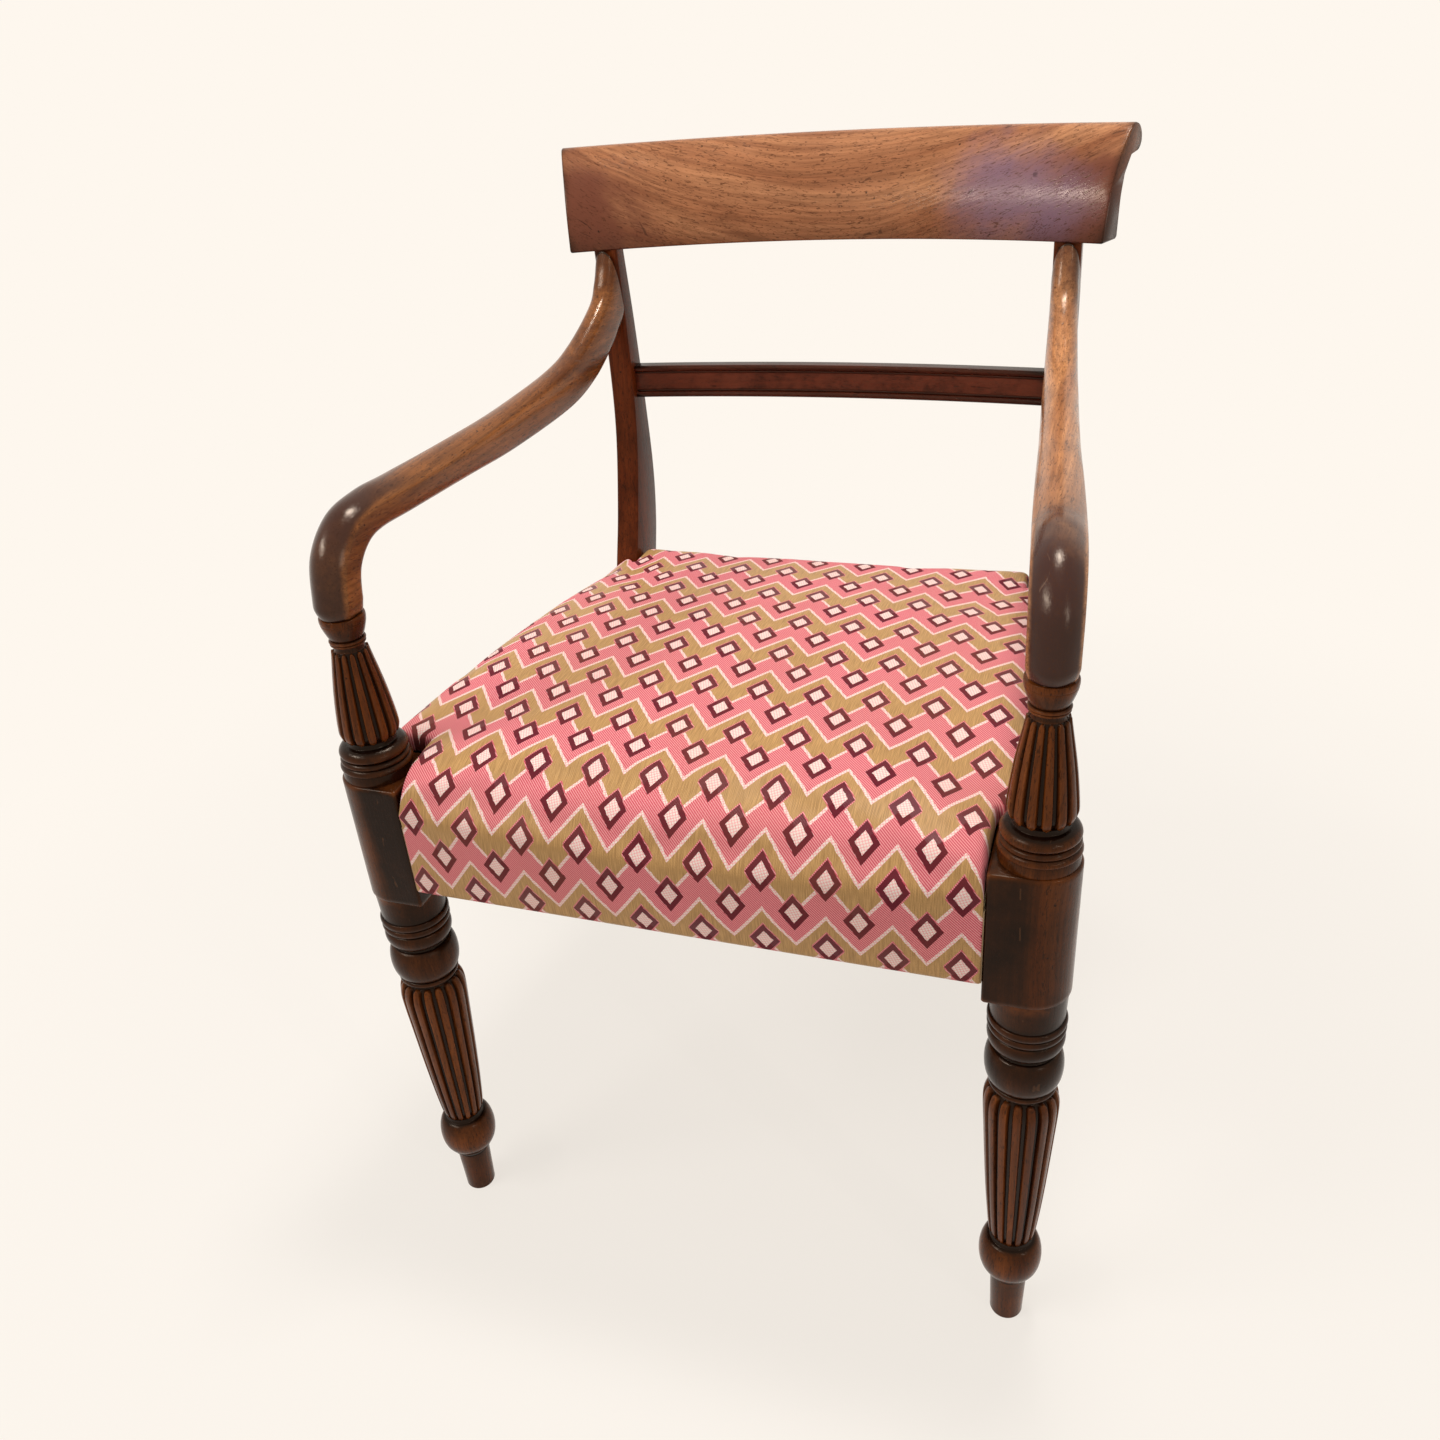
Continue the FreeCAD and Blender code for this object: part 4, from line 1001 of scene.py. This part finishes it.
def thread_group():
    """Fine threads of a twill: slanting ribs, a net of dots, and lengthways slubs."""
    group, wiring, given, result = new_group("Threads", ("Rib", "Net", "Slub", "Fuzz"))
    parts = wiring.split(given["Vector"])
    rate = 2 * math.pi / THREAD_PITCH

    def wave(across, along):
        phase = wiring.plus(wiring.times(parts["X"], across * rate), wiring.times(parts["Y"], along * rate))
        return wiring.math("MULTIPLY_ADD", wiring.math("SINE", phase), 0.5, 0.5)

    wiring.fill(result, {
        "Rib": wave(1.0, 1.0),
        "Net": wiring.times(wave(1.0, 0.4), wave(-0.4, 1.0)),
        "Slub": wiring.streaks(given["Vector"], (1800.0, 60.0, 1.0), 2.0),
        "Fuzz": wiring.noise(given["Vector"], 900.0, 3.0, 0.7),
    })
    return group


def woven_cover():
    material, wiring, shader = new_material("cover_weave")
    lengths = wiring.add("UVMap", uv_map="cloth").outputs["UV"]
    waver = wiring.noise(lengths, 240.0, 2.0)
    wavered = wiring.vector("MULTIPLY_ADD", waver, (PATTERN_WAVER, PATTERN_WAVER, 0.0), lengths)
    pattern = wiring.group(FLAME_STITCH, Vector=wavered)
    threads = wiring.group(THREADS, Vector=lengths)
    soiled = wiring.range(wiring.noise(lengths, 9.0, 4.0), 0.35, 0.7)
    pink = wiring.mix(wiring.range(threads["Rib"], 0.35, 0.95, 0.1, 0.85), PINK, PALE_PINK)
    gold = wiring.mix(wiring.range(threads["Slub"], 0.3, 0.7), OLIVE, GOLD)
    cream = wiring.mix(wiring.range(threads["Net"], 0.12, 0.05), CREAM, PALE_PINK)
    wine = wiring.mix(0.85, wiring.mix(threads["Fuzz"], BURGUNDY, PINK), BURGUNDY)
    colour = wiring.mix(pattern["Band"], gold, pink)
    for mask, over in (("Edge", cream), ("Halo", pink), ("Ring", wine), ("Core", cream)):
        colour = wiring.mix(pattern[mask], colour, over)
    colour = wiring.layer(colour, soiled, 0.12, OLIVE)
    pile = wiring.minus(pattern["Ring"], pattern["Core"])
    height = wiring.plus(wiring.times(threads["Rib"], 0.35), wiring.times(threads["Fuzz"], 0.5))
    wiring.bump(shader, wiring.plus(height, wiring.times(pile, 1.2)), 0.35, 0.0006)
    satin = wiring.minus(1.0, pattern["Band"])
    wiring.fill(shader, {
        "Base Color": colour,
        "Roughness": wiring.range(satin, 0.0, 1.0, 0.8, 0.42),
        "Sheen Weight": 0.03,
        "Sheen Roughness": 0.5,
        "Specular IOR Level": 0.18,
    })
    return material


def jute(name, warp, weft, pitch):
    """Coarse plain weave, drawn from two crossing sets of threads in plan."""
    material, wiring, shader = new_material(name)
    parts = wiring.split(wiring.place())
    rate = 2 * math.pi / pitch
    waves = [wiring.math("SINE", wiring.times(parts[axis], rate)) for axis in "XY"]
    over = wiring.range(wiring.times(*waves), -0.6, 0.6, 0.0, 0.6)
    fibre = wiring.noise(wiring.place(), 700.0, 4.0, 0.7)
    share = wiring.plus(over, wiring.times(fibre, 0.4))
    wiring.bump(shader, share, 0.5, 0.0006)
    wiring.fill(shader, {
        "Base Color": wiring.mix(share, weft, warp),
        "Roughness": 0.92,
        "Specular IOR Level": 0.2,
    })
    return material


def raw_beech(name, order):
    """Sawn beech under the seat: short dark flecks and a century of dust."""
    material, wiring, shader = new_material(name)
    grain = wiring.group(GRAIN, Vector=grain_vector(wiring, order, 0.0))
    colour = wiring.mix(grain["Ribbon"], (0.33, 0.205, 0.105), (0.44, 0.29, 0.16))
    colour = wiring.layer(colour, grain["Pore"], 0.5, (0.16, 0.085, 0.04))
    colour = wiring.layer(colour, grain["Cloud"], 0.4, (0.2, 0.125, 0.07))
    wiring.bump(shader, grain["Line"], 0.3, 0.0005)
    wiring.fill(shader, {
        "Base Color": colour,
        "Roughness": wiring.range(grain["Cloud"], 0.0, 1.0, 0.6, 0.8),
        "Specular IOR Level": 0.2,
    })
    return material


def dull_steel():
    """Blued steel of the screws and tacks, with specks of rust."""
    material, wiring, shader = new_material("screw_steel")
    rust = wiring.range(wiring.noise(wiring.place(), 420.0, 4.0, 0.65), 0.5, 0.66)
    wiring.fill(shader, {
        "Base Color": wiring.mix(rust, (0.13, 0.13, 0.14), (0.16, 0.06, 0.025)),
        "Metallic": wiring.minus(1.0, rust),
        "Roughness": wiring.range(rust, 0.0, 1.0, 0.35, 0.85),
    })
    return material


FLAME_STITCH = flame_stitch_group()
THREADS = thread_group()
cover_weave = woven_cover()
webbing_jute = jute("webbing_jute", (0.40, 0.27, 0.14), (0.26, 0.16, 0.08), 0.0026)
hessian_jute = jute("hessian_jute", (0.45, 0.32, 0.18), (0.30, 0.20, 0.10), 0.0018)
hair_stuffing = jute("stuffing_hair", (0.14, 0.09, 0.055), (0.06, 0.04, 0.025), 0.004)
cross_beech = raw_beech("cross_beech", "XYZ")
side_beech = raw_beech("side_beech", "YXZ")
screw_steel = dull_steel()


# Seat cover. It is laid out as the flat cloth was cut: u across and v along, in cloth lengths.

def half_width(back):
    """Middle of the seat to the outside of the cover, at a distance back."""
    share = (back - BLOCK_HALF) / (seat_depth - BLOCK_HALF)
    return blend_between(cover_side, stile_outer + COVER_THICK, share)


def side_roll_z(back):
    share = back / seat_depth
    swell = SIDE_SWELL * math.sin(math.pi * min(1.0, max(0.0, share)))
    return rail_top + SIDE_ROLL_RISE - SIDE_ROLL_FALL * share + swell


def middle_z(back):
    """Height of the seat along its middle."""
    front_top = cover_front + FRONT_ROLL
    rear_top = cover_back - REAR_ROLL
    if back < front_top:
        return front_roll_z + math.sqrt(max(0.0, FRONT_ROLL**2 - (front_top - back) ** 2))
    if back > rear_top:
        return rear_roll_z + math.sqrt(max(0.0, REAR_ROLL**2 - (back - rear_top) ** 2))
    share = (back - front_top) / (rear_top - front_top)
    edge = blend_between(front_roll_z + FRONT_ROLL, rear_roll_z + REAR_ROLL, share)
    return edge + SEAT_CROWN * math.sin(math.pi * share) ** CROWN_POWER


def seat_z(x, back):
    """Height of the seat's upper surface, which falls from its middle to its side rolls."""
    roll_x = half_width(back) - SIDE_ROLL
    top = middle_z(back)
    level = min(top, side_roll_z(back) + SIDE_ROLL)
    x = abs(x)
    if x > roll_x:
        over = min(SIDE_ROLL, x - roll_x)
        return level - SIDE_ROLL + math.sqrt(SIDE_ROLL**2 - over**2)
    return level + (top - level) * (1 - (x / roll_x) ** 2) ** DOME_POWER


def stile_hollow(z):
    """How far the front of an upright lies behind its foremost place, at a height."""
    return value_along([(height, behind) for behind, height in UPRIGHT_FRONT], z)


def tucked(distance, radius):
    """Drop of a quarter-round edge, at a distance from the end of the cloth."""
    if distance >= radius:
        return 0.0
    return radius - math.sqrt(radius**2 - (radius - distance) ** 2)


def spans(stops):
    """Places from stop to stop, about a cloth step apart."""
    places = [stops[0]]
    for a, b in zip(stops, stops[1:]):
        count = max(1, round(abs(b - a) / CLOTH_STEP))
        places += [blend_between(a, b, i / count) for i in range(1, count + 1)]
    return places


def graded(low, high):
    """Stops between two cuts, closer together beside them."""
    after = [low + step for step in reversed(EDGE_STEPS)]
    return [low, *after, *[high - step for step in EDGE_STEPS], high]


def quarter_turns(radius):
    """Turns from 0 to a right angle, for a quarter round of this radius."""
    count = round(radius * math.pi / 2 / CLOTH_STEP)
    return [math.pi / 2 * i / count for i in range(count + 1)]


def cover_rows():
    """From the front lip to the rear lip: (back, height, zone, v)."""
    rows = [(back, cover_bottom, "lip") for back in spans([cover_front + COVER_LIP, cover_front])[:-1]]
    rows += [(cover_front, z, "face") for z in spans([cover_bottom, front_roll_z])[:-1]]
    for turn in quarter_turns(FRONT_ROLL)[:-1]:
        back = cover_front + FRONT_ROLL * (1 - math.cos(turn))
        rows.append((back, front_roll_z + FRONT_ROLL * math.sin(turn), "top"))
    stops = [cover_front + FRONT_ROLL, *graded(post_cut_back, stile_cut_back), cover_back - REAR_ROLL]
    rows += [(back, middle_z(back), "top") for back in spans(stops)]
    for turn in reversed(quarter_turns(REAR_ROLL)[:-1]):
        back = cover_back - REAR_ROLL * (1 - math.cos(turn))
        rows.append((back, rear_roll_z + REAR_ROLL * math.sin(turn), "top"))
    rows += [(cover_back, z, "face") for z in spans([rear_roll_z, cover_bottom])[1:]]
    rows += [(back, cover_bottom, "lip") for back in spans([cover_back, cover_back - COVER_LIP])[1:]]
    placed = []
    v = 0.0
    for i, (back, z, zone) in enumerate(rows):
        if i:
            v += math.hypot(back - rows[i - 1][0], z - rows[i - 1][1])
        placed.append((back, z, zone, v))
    return placed


def side_flap(back):
    """The cloth from the stile's line out over the side roll and under the rail: (length, x, height)."""
    edge = half_width(back)
    roll_x = edge - SIDE_ROLL
    level = seat_z(roll_x, back)
    places = [(stile_cut_x, seat_z(stile_cut_x, back))]
    if roll_x > stile_cut_x:
        places += [(x, seat_z(x, back)) for x in spans([stile_cut_x, roll_x]) if x < roll_x]
    for i in range(SIDE_ROLL_STEPS + 1):
        turn = math.pi / 2 * i / SIDE_ROLL_STEPS
        x = roll_x + SIDE_ROLL * math.sin(turn)
        if x >= stile_cut_x:
            places.append((x, level - SIDE_ROLL + SIDE_ROLL * math.cos(turn)))
    places += [(edge, cover_bottom), (edge - COVER_LIP, cover_bottom)]
    length = 0.0
    flap = [(0.0, *places[0])]
    for a, b in zip(places, places[1:]):
        length += math.hypot(b[0] - a[0], b[1] - a[1])
        flap.append((length, *b))
    return flap


def along_flap(flap, length):
    for a, b in zip(flap, flap[1:]):
        if length <= b[0] + 1e-6:
            share = (length - a[0]) / max(1e-6, b[0] - a[0])
            return blend_between(a[1], b[1], share), blend_between(a[2], b[2], share)
    return flap[-1][1:]


class Cover:
    """The cover's mesh, as it is laid over the stuffing before the cloth settles."""

    def __init__(self):
        self.corners = []
        self.lengths = []
        self.pinned = []
        self.faces = []
        to_post = post_cut_x - stile_cut_x
        self.middle = spans(graded(-stile_cut_x, stile_cut_x))
        self.shoulder = spans([0.0, *[to_post - step for step in EDGE_STEPS], to_post])[1:]
        longest = side_flap(post_cut_back)[-1][0]
        self.outer = round((longest - to_post) / CLOTH_STEP)
        grid = [self.row(*row) for row in cover_rows()]
        for low, high in zip(grid, grid[1:]):
            for i in range(len(low) - 1):
                corners = (low[i], low[i + 1], high[i + 1], high[i])
                if None not in corners:
                    self.faces.append(corners)

    def add(self, place, u, v, pinned):
        self.corners.append(place)
        self.lengths.append((u, v))
        self.pinned.append(pinned)
        return len(self.corners) - 1

    def row(self, back, z, zone, v):
        """One row of the mesh from left to right, with None where the cloth is cut away."""
        between = zone == "top" and post_cut_back - TOUCH <= back <= stile_cut_back + TOUCH
        front = back < post_cut_back + TOUCH
        held = zone == "lip" or abs(z - cover_bottom) < TOUCH
        centre = [self.add(self.settle(x, back, z, zone), x, v, held) for x in self.middle]
        if between:
            left, right = (self.flap_side(sign, back, v) for sign in (-1, 1))
        elif front:
            left, right = (self.front_side(sign, back, z, zone, v, held) for sign in (-1, 1))
        else:
            left = right = [None] * (len(self.shoulder) + self.outer)
        return left[::-1] + centre + right

    def flap_side(self, sign, back, v):
        flap = side_flap(back)
        lengths = list(self.shoulder)
        for i in range(1, self.outer + 1):
            lengths.append(blend_between(self.shoulder[-1], flap[-1][0], i / self.outer))
        side = []
        for i, length in enumerate(lengths):
            x, height = along_flap(flap, length)
            held = i >= len(self.shoulder) and height < cover_bottom + TOUCH
            side.append(self.add(self.tuck(sign * x, back, height), sign * (stile_cut_x + length), v, held))
        return side

    def front_side(self, sign, back, z, zone, v, held):
        us = [sign * (stile_cut_x + length) for length in self.shoulder]
        side = [self.add(self.settle(u, back, z, zone), u, v, held) for u in us]
        return side + [None] * self.outer

    def settle(self, x, back, z, zone):
        """A place on the upper surface, or on the front or rear face or lip below it."""
        if zone == "top":
            return self.tuck(x, back, seat_z(x, back))
        inward = 1 if back < seat_depth / 2 else -1
        cut = post_cut_x if inward > 0 else stile_cut_x
        if zone == "face":
            share = (z - cover_bottom) / (front_roll_z - cover_bottom)
            fall = seat_z(x, back) - middle_z(back)
            z += fall * max(0.0, share)
            back += inward * tucked(cut - abs(x), FACE_TUCK)
        return point(x, back, z)

    def tuck(self, x, back, z):
        """Rolls the cloth down where it meets a post or an upright."""
        to_post = math.hypot(max(0.0, post_cut_x - abs(x)), max(0.0, back - post_cut_back))
        to_stile = math.hypot(max(0.0, stile_cut_x - abs(x)), max(0.0, stile_cut_back - back))
        upper = eased((z - front_roll_z) / TUCK_RISE)
        outside = eased((abs(x) - stile_inner) / (stile_outer - stile_inner))
        drop = tucked(to_post, POST_TUCK) + tucked(to_stile, STILE_TUCK) * (1 - outside)
        if to_post < TOUCH:
            drop += HIDDEN_EDGE
        if to_stile < TOUCH:
            drop += HIDDEN_EDGE * (1 - outside)
        behind = stile_hollow(z) * eased((abs(x) - stile_cut_x) / STILE_CORNER) + STILE_LAP * outside
        back += behind * eased(1 - to_stile / STILE_EASE)
        return point(x, back, z - upper * drop)


def cut_edges(mesh):
    """Corners on the border of the cloth."""
    uses = {}
    for polygon in mesh.polygons:
        for key in polygon.edge_keys:
            uses[key] = uses.get(key, 0) + 1
    return {corner for key, count in uses.items() if count == 1 for corner in key}


def settle_cloth(piece, pinned):
    """Lets the cover stretch between its tacks under the push of the stuffing."""
    start = [corner.co.copy() for corner in piece.data.vertices]
    piece.vertex_groups.new(name="tacked").add(pinned, 1.0, "REPLACE")
    cloth = piece.modifiers.new("settle", "CLOTH")
    settings = cloth.settings
    settings.quality = 6
    settings.mass = 0.3
    settings.tension_stiffness = 30
    settings.compression_stiffness = 30
    settings.shear_stiffness = 12
    settings.bending_stiffness = 4
    settings.vertex_group_mass = "tacked"
    settings.use_pressure = True
    settings.uniform_pressure_force = CLOTH_PRESSURE
    settings.effector_weights.gravity = 0
    cloth.collision_settings.use_collision = False
    scene = bpy.context.scene
    for step in range(1, CLOTH_FRAMES + 1):
        scene.frame_set(step)
    settled = piece.evaluated_get(bpy.context.evaluated_depsgraph_get()).data
    moves = [corner.co - place for corner, place in zip(settled.vertices, start)]
    piece.modifiers.remove(cloth)
    limit = CLOTH_REACH * MM
    for corner, place, move in zip(piece.data.vertices, start, moves):
        corner.co = place + move * min(1.0, limit / max(limit, move.length))
    scene.frame_set(1)


def seat_cover():
    laid = Cover()
    mesh = new_mesh("seat_cover_cloth", laid.corners, laid.faces)
    lengths = mesh.uv_layers.new(name="cloth")
    for loop in mesh.loops:
        u, v = laid.lengths[loop.vertex_index]
        lengths.data[loop.index].uv = (u * MM, v * MM)
    mesh.shade_smooth()
    mesh.materials.append(cover_weave)
    cover = new_object("seat_cover_cloth", mesh)
    pinned = {i for i, held in enumerate(laid.pinned) if held} | cut_edges(mesh)
    settle_cloth(cover, sorted(pinned))
    thickness = cover.modifiers.new("thickness", "SOLIDIFY")
    thickness.thickness = COVER_CLOTH * MM
    thickness.offset = -1
    rounding = cover.modifiers.new("rounding", "SUBSURF")
    rounding.levels = rounding.render_levels = 1
    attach(cover, BODY)
    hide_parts("seat_cover")


def seat_pad():
    """Hair stuffing under the cover, notched round the posts and the uprights."""
    shell = Shell()
    first, last = cover_front + PAD_ROOM, cover_back - PAD_ROOM
    post_stop, stile_stop = post_cut_back + PAD_ROOM, stile_cut_back - PAD_ROOM
    rings = []

    def add_ring(back, half):
        cover_at = blend_between(cover_front, cover_back, (back - first) / (last - first))
        turns = [math.pi / 2 * (i / PAD_STEPS - 1) for i in range(2 * PAD_STEPS + 1)]
        xs = [half * math.sin(turn) for turn in turns]
        tops = [seat_z(x * (half + PAD_ROOM) / half, cover_at) - PAD_ROOM for x in xs]
        top = [point(x, back, max(stuffing_low.z + 1, z)) for x, z in zip(xs, tops)]
        rings.append(top + [point(x, back, stuffing_low.z) for x in reversed(xs)])

    for back in spans([first, post_stop]):
        add_ring(back, post_cut_x - PAD_ROOM)
    for back in spans([post_stop, stile_stop]):
        add_ring(back, half_width(back) - PAD_ROOM)
    for back in spans([stile_stop, last]):
        add_ring(back, stile_cut_x - PAD_ROOM)
    shell.add_skin(rings)
    pad = new_piece("seat_pad", shell, hair_stuffing, "stuffing_hair", "seat_stuffing")


# Webbing, hessian and tacks

def web_level(place, crossings, over_first):
    """Rise of a web at a place on its run: over one web and under the next."""
    level = 0.0
    for i, crossing in enumerate(crossings):
        side = 1 if (i % 2 == 0) == over_first else -1
        level += side * eased((WEB_WIDTH / 2 + WEB_SLOPE - abs(place - crossing)) / WEB_SLOPE)
    return level * web_lift


def web_section():
    """A flat strap with rounded edges: (side, rise)."""
    half = WEB_WIDTH / 2
    flat = half - WEB_SOFT
    low = WEB_THICK / 4
    high = WEB_THICK - low
    right = [(flat, 0.0), (half, low), (half, high), (flat, WEB_THICK)]
    return [(-flat, 0.0), *right, (-flat, WEB_THICK), (-half, high), (-half, low)]


def add_web(shell, start, end, crossings, over_first, place_on):
    """One web. place_on turns run, side and height into a point."""
    rings = []
    for run in spans([start, end]):
        z = rail_top + web_level(run, crossings, over_first)
        rings.append([place_on(run, side, z + rise) for side, rise in web_section()])
    shell.add_skin(rings)


def webbing():
    lengthways = Shell()
    for i, x in enumerate(web_xs):
        add_web(lengthways, web_low.y - post_y, web_high.y - post_y, web_backs, i % 2 == 0,
                lambda run, side, z, x=x: point(x - side, run, z))
    crossways = Shell()
    for i, back in enumerate(web_backs):
        reach = half_width(back + WEB_WIDTH / 2) - COVER_THICK - WEB_END
        add_web(crossways, -reach, reach, web_xs, i % 2 == 1,
                lambda run, side, z, back=back: point(run, back + side, z))
    new_piece("webbing_lengthways_jute", lengthways, webbing_jute, "webbing_jute", "webbing_lengthways")
    new_piece("webbing_crossways_jute", crossways, webbing_jute, "webbing_jute", "webbing_crossways")


def gap_share(place, webs):
    """1 in the middle of a gap between two webs, 0 on a web or outside them all."""
    if not webs[0] < place < webs[-1]:
        return 0.0
    off = min(abs(place - web) for web in webs) - WEB_WIDTH / 2
    return eased(off / HESSIAN_SLOPE)


def hessian_half(back):
    return half_width(back) - COVER_THICK - HESSIAN_INSET


def hessian_cloth():
    """The hessian, cut round the posts and uprights, and bellied down a little between the webs."""
    shell = Shell()
    front, rear = hessian_low.y - post_y, hessian_high.y - post_y
    thick = Vector((0, 0, hessian_high.z - hessian_low.z))
    stretches = [
        (front, post_cut_back, lambda back: post_cut_x),
        (post_cut_back, stile_cut_back, hessian_half),
        (stile_cut_back, rear, lambda back: stile_cut_x),
    ]
    rings = []
    area = 0.0
    for start, end, half in stretches:
        for back in spans([start, end]):
            under = []
            for i in range(2 * HESSIAN_STEPS + 1):
                x = half(back) * (i / HESSIAN_STEPS - 1)
                belly = HESSIAN_BELLY * gap_share(x, web_xs) * gap_share(back, web_backs)
                under.append(point(x, back, hessian_low.z - belly))
            rings.append([place + thick for place in under] + under[::-1])
        area += (end - start) * (half(start) + half(end))
    shell.add_skin(rings)
    cloth = new_piece("hessian_cloth", shell, hessian_jute, "hessian_jute", "hessian")


def add_tack(shell, x, back):
    """A domed tack head under the rail."""
    turns = [2 * math.pi * i / TACK_SIDES for i in range(TACK_SIDES)]
    rings = []
    for row in range(TACK_ROWS):
        dome = math.pi / 2 * row / (TACK_ROWS - 0.6)
        r = TACK_RADIUS * math.cos(dome)
        z = cover_bottom - TACK_RISE * math.sin(dome)
        rings.append([point(x + r * math.cos(turn), back - r * math.sin(turn), z) for turn in turns])
    shell.add_skin(rings)


def cover_tacks():
    """Tacks along the cover's turned-under edges."""
    shell = Shell()
    for end, back in ((post_cut_x, cover_front + TACK_INSET), (stile_cut_x, cover_back - TACK_INSET)):
        count = round(2 * end / TACK_PITCH)
        for i in range(count):
            add_tack(shell, end * ((2 * i + 1) / count - 1), back)
    count = round((stile_cut_back - post_cut_back) / TACK_PITCH)
    for i in range(count):
        back = blend_between(post_cut_back, stile_cut_back, (i + 0.5) / count)
        for sign in (-1, 1):
            add_tack(shell, sign * (half_width(back) - TACK_INSET), back)
    new_piece("cover_tacks", shell, screw_steel, "screw_steel")


def dress(material, *names):
    """Gives CAD nodes whose shape is right a finish of their own."""
    for name in names:
        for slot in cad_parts[name].material_slots:
            slot.material = material


def dress_seat_frame():
    for end in ("front", "rear"):
        blocks = [f"{end}_corner_block_{side}" for side in ("left", "right")]
        dress(cross_beech, f"{end}_seat_rail", *blocks)
    dress(side_beech, "side_seat_rail_left", "side_seat_rail_right")
    dress(screw_steel, "corner_block_screws", "arm_screws")
    dress(stile_wood, "arm_screw_plugs")


# Camera, floor and light, in metres

CAMERA_PLACE = (0.28991, -0.67225 + post_y * MM, 0.96507)
CAMERA_TURN = math.radians(20.729)
CAMERA_TILT = math.radians(30.107)
CAMERA_ROLL = math.radians(-4.676)
SENSOR = 36.0
LENS = 30.74
NEAREST = 0.01
FLOOR_HALF = 40.0
FLOOR_COLOUR = (0.82, 0.77, 0.71)
SHADOW_SHARE = 0.76          # of the background's colour, where the chair's shadow shows best
SHADOW_FADE = (0.45, 1.3)    # from the chair's middle
BACKGROUND = (0.991, 0.930, 0.855)
SKY = (0.9, 0.95, 1.0)
SKY_STRENGTH = 0.32


def add_camera():
    flat = math.cos(CAMERA_TILT)
    toward = Vector((math.sin(CAMERA_TURN) * flat, -math.cos(CAMERA_TURN) * flat, math.sin(CAMERA_TILT)))
    level = Vector((math.cos(CAMERA_TURN), math.sin(CAMERA_TURN), 0))
    up = toward.cross(level)
    right = level * math.cos(CAMERA_ROLL) + up * math.sin(CAMERA_ROLL)
    up = up * math.cos(CAMERA_ROLL) - level * math.sin(CAMERA_ROLL)
    data = bpy.data.cameras.new("camera")
    data.sensor_width = SENSOR
    data.lens = LENS
    data.clip_start = NEAREST
    camera = new_object("camera", data)
    camera.matrix_world = Matrix.Translation(CAMERA_PLACE) @ Matrix((right, up, toward)).transposed().to_4x4()
    bpy.context.scene.camera = camera


def floor_paint():
    """Pale paint that shows the background's colour to the camera and keeps a soft shadow. From
    below it is clear."""
    material, wiring, shader = new_material("floor_paint")
    wiring.fill(shader, {"Base Color": FLOOR_COLOUR, "Roughness": 0.9})
    glow = wiring.fill(wiring.add("Emission"), {"Color": BACKGROUND})
    away = wiring.vector("LENGTH", wiring.place())
    plain = wiring.range(away, *SHADOW_FADE, SHADOW_SHARE, 1.0)
    above = wiring.mix_shaders(wiring.times(wiring.seen_directly(), plain), shader, glow)
    below = wiring.add("NewGeometry").outputs["Backfacing"]
    either = wiring.mix_shaders(below, above, wiring.add("BsdfTransparent"))
    wiring.set(material.node_tree.nodes["Material Output"].inputs["Surface"], either.outputs[0])
    return material


def add_floor():
    half = FLOOR_HALF
    corners = [(-half, -half, 0), (half, -half, 0), (half, half, 0), (-half, half, 0)]
    mesh = bpy.data.meshes.new("floor")
    mesh.from_pydata(corners, [], [(0, 1, 2, 3)])
    mesh.materials.append(floor_paint())
    new_object("floor", mesh)


def add_lamp(name, place, aim, size, power):
    data = bpy.data.lights.new(name, "AREA")
    data.shape = "RECTANGLE"
    data.size, data.size_y = size
    data.energy = power
    turn = (Vector(aim) - Vector(place)).to_track_quat("-Z", "Y")
    new_object(name, data).matrix_world = Matrix.Translation(place) @ turn.to_matrix().to_4x4()


def add_world():
    world = bpy.data.worlds.new("studio")
    bpy.context.scene.world = world
    world.use_nodes = True
    wiring = Wiring(world.node_tree)
    nodes = world.node_tree.nodes
    light = wiring.fill(nodes["Background"], {"Color": SKY, "Strength": SKY_STRENGTH})
    backdrop = wiring.fill(wiring.add("Background"), {"Color": BACKGROUND})
    either = wiring.mix_shaders(wiring.seen_directly(), light, backdrop)
    wiring.set(nodes["World Output"].inputs["Surface"], either.outputs[0])


new_pair("front_post", front_post(), post_wood, post_wood)
new_pair("rear_upright", rear_upright(), stile_wood, stile_wood)
# painted light on the right arm and painted shade on the left, through their two woods
new_pair("arm", arm(), lit_arm_wood, shaded_arm_wood)
new_piece("crest_rail_finish", crest_rail(), crest_wood, MAHOGANY_SLOT, "crest_rail")
new_piece("mid_rail_finish", mid_rail(), rail_wood, MAHOGANY_SLOT, "mid_rail")
seat_cover()
seat_pad()
webbing()
hessian_cloth()
cover_tacks()
dress_seat_frame()
add_camera()
add_floor()
add_world()
add_lamp("window", (-1.5, -1.4, 2.2), (0, 0, 0.5), (1.1, 0.12), 26)
add_lamp("ceiling", (0.2, 0.2, 2.7), (0, 0, 0.4), (0.45, 0.45), 41)
add_lamp("fill", (2.0, -1.4, 1.5), (0, 0, 0.5), (0.05, 0.8), 5)
bpy.context.scene.view_settings.view_transform = "Standard"
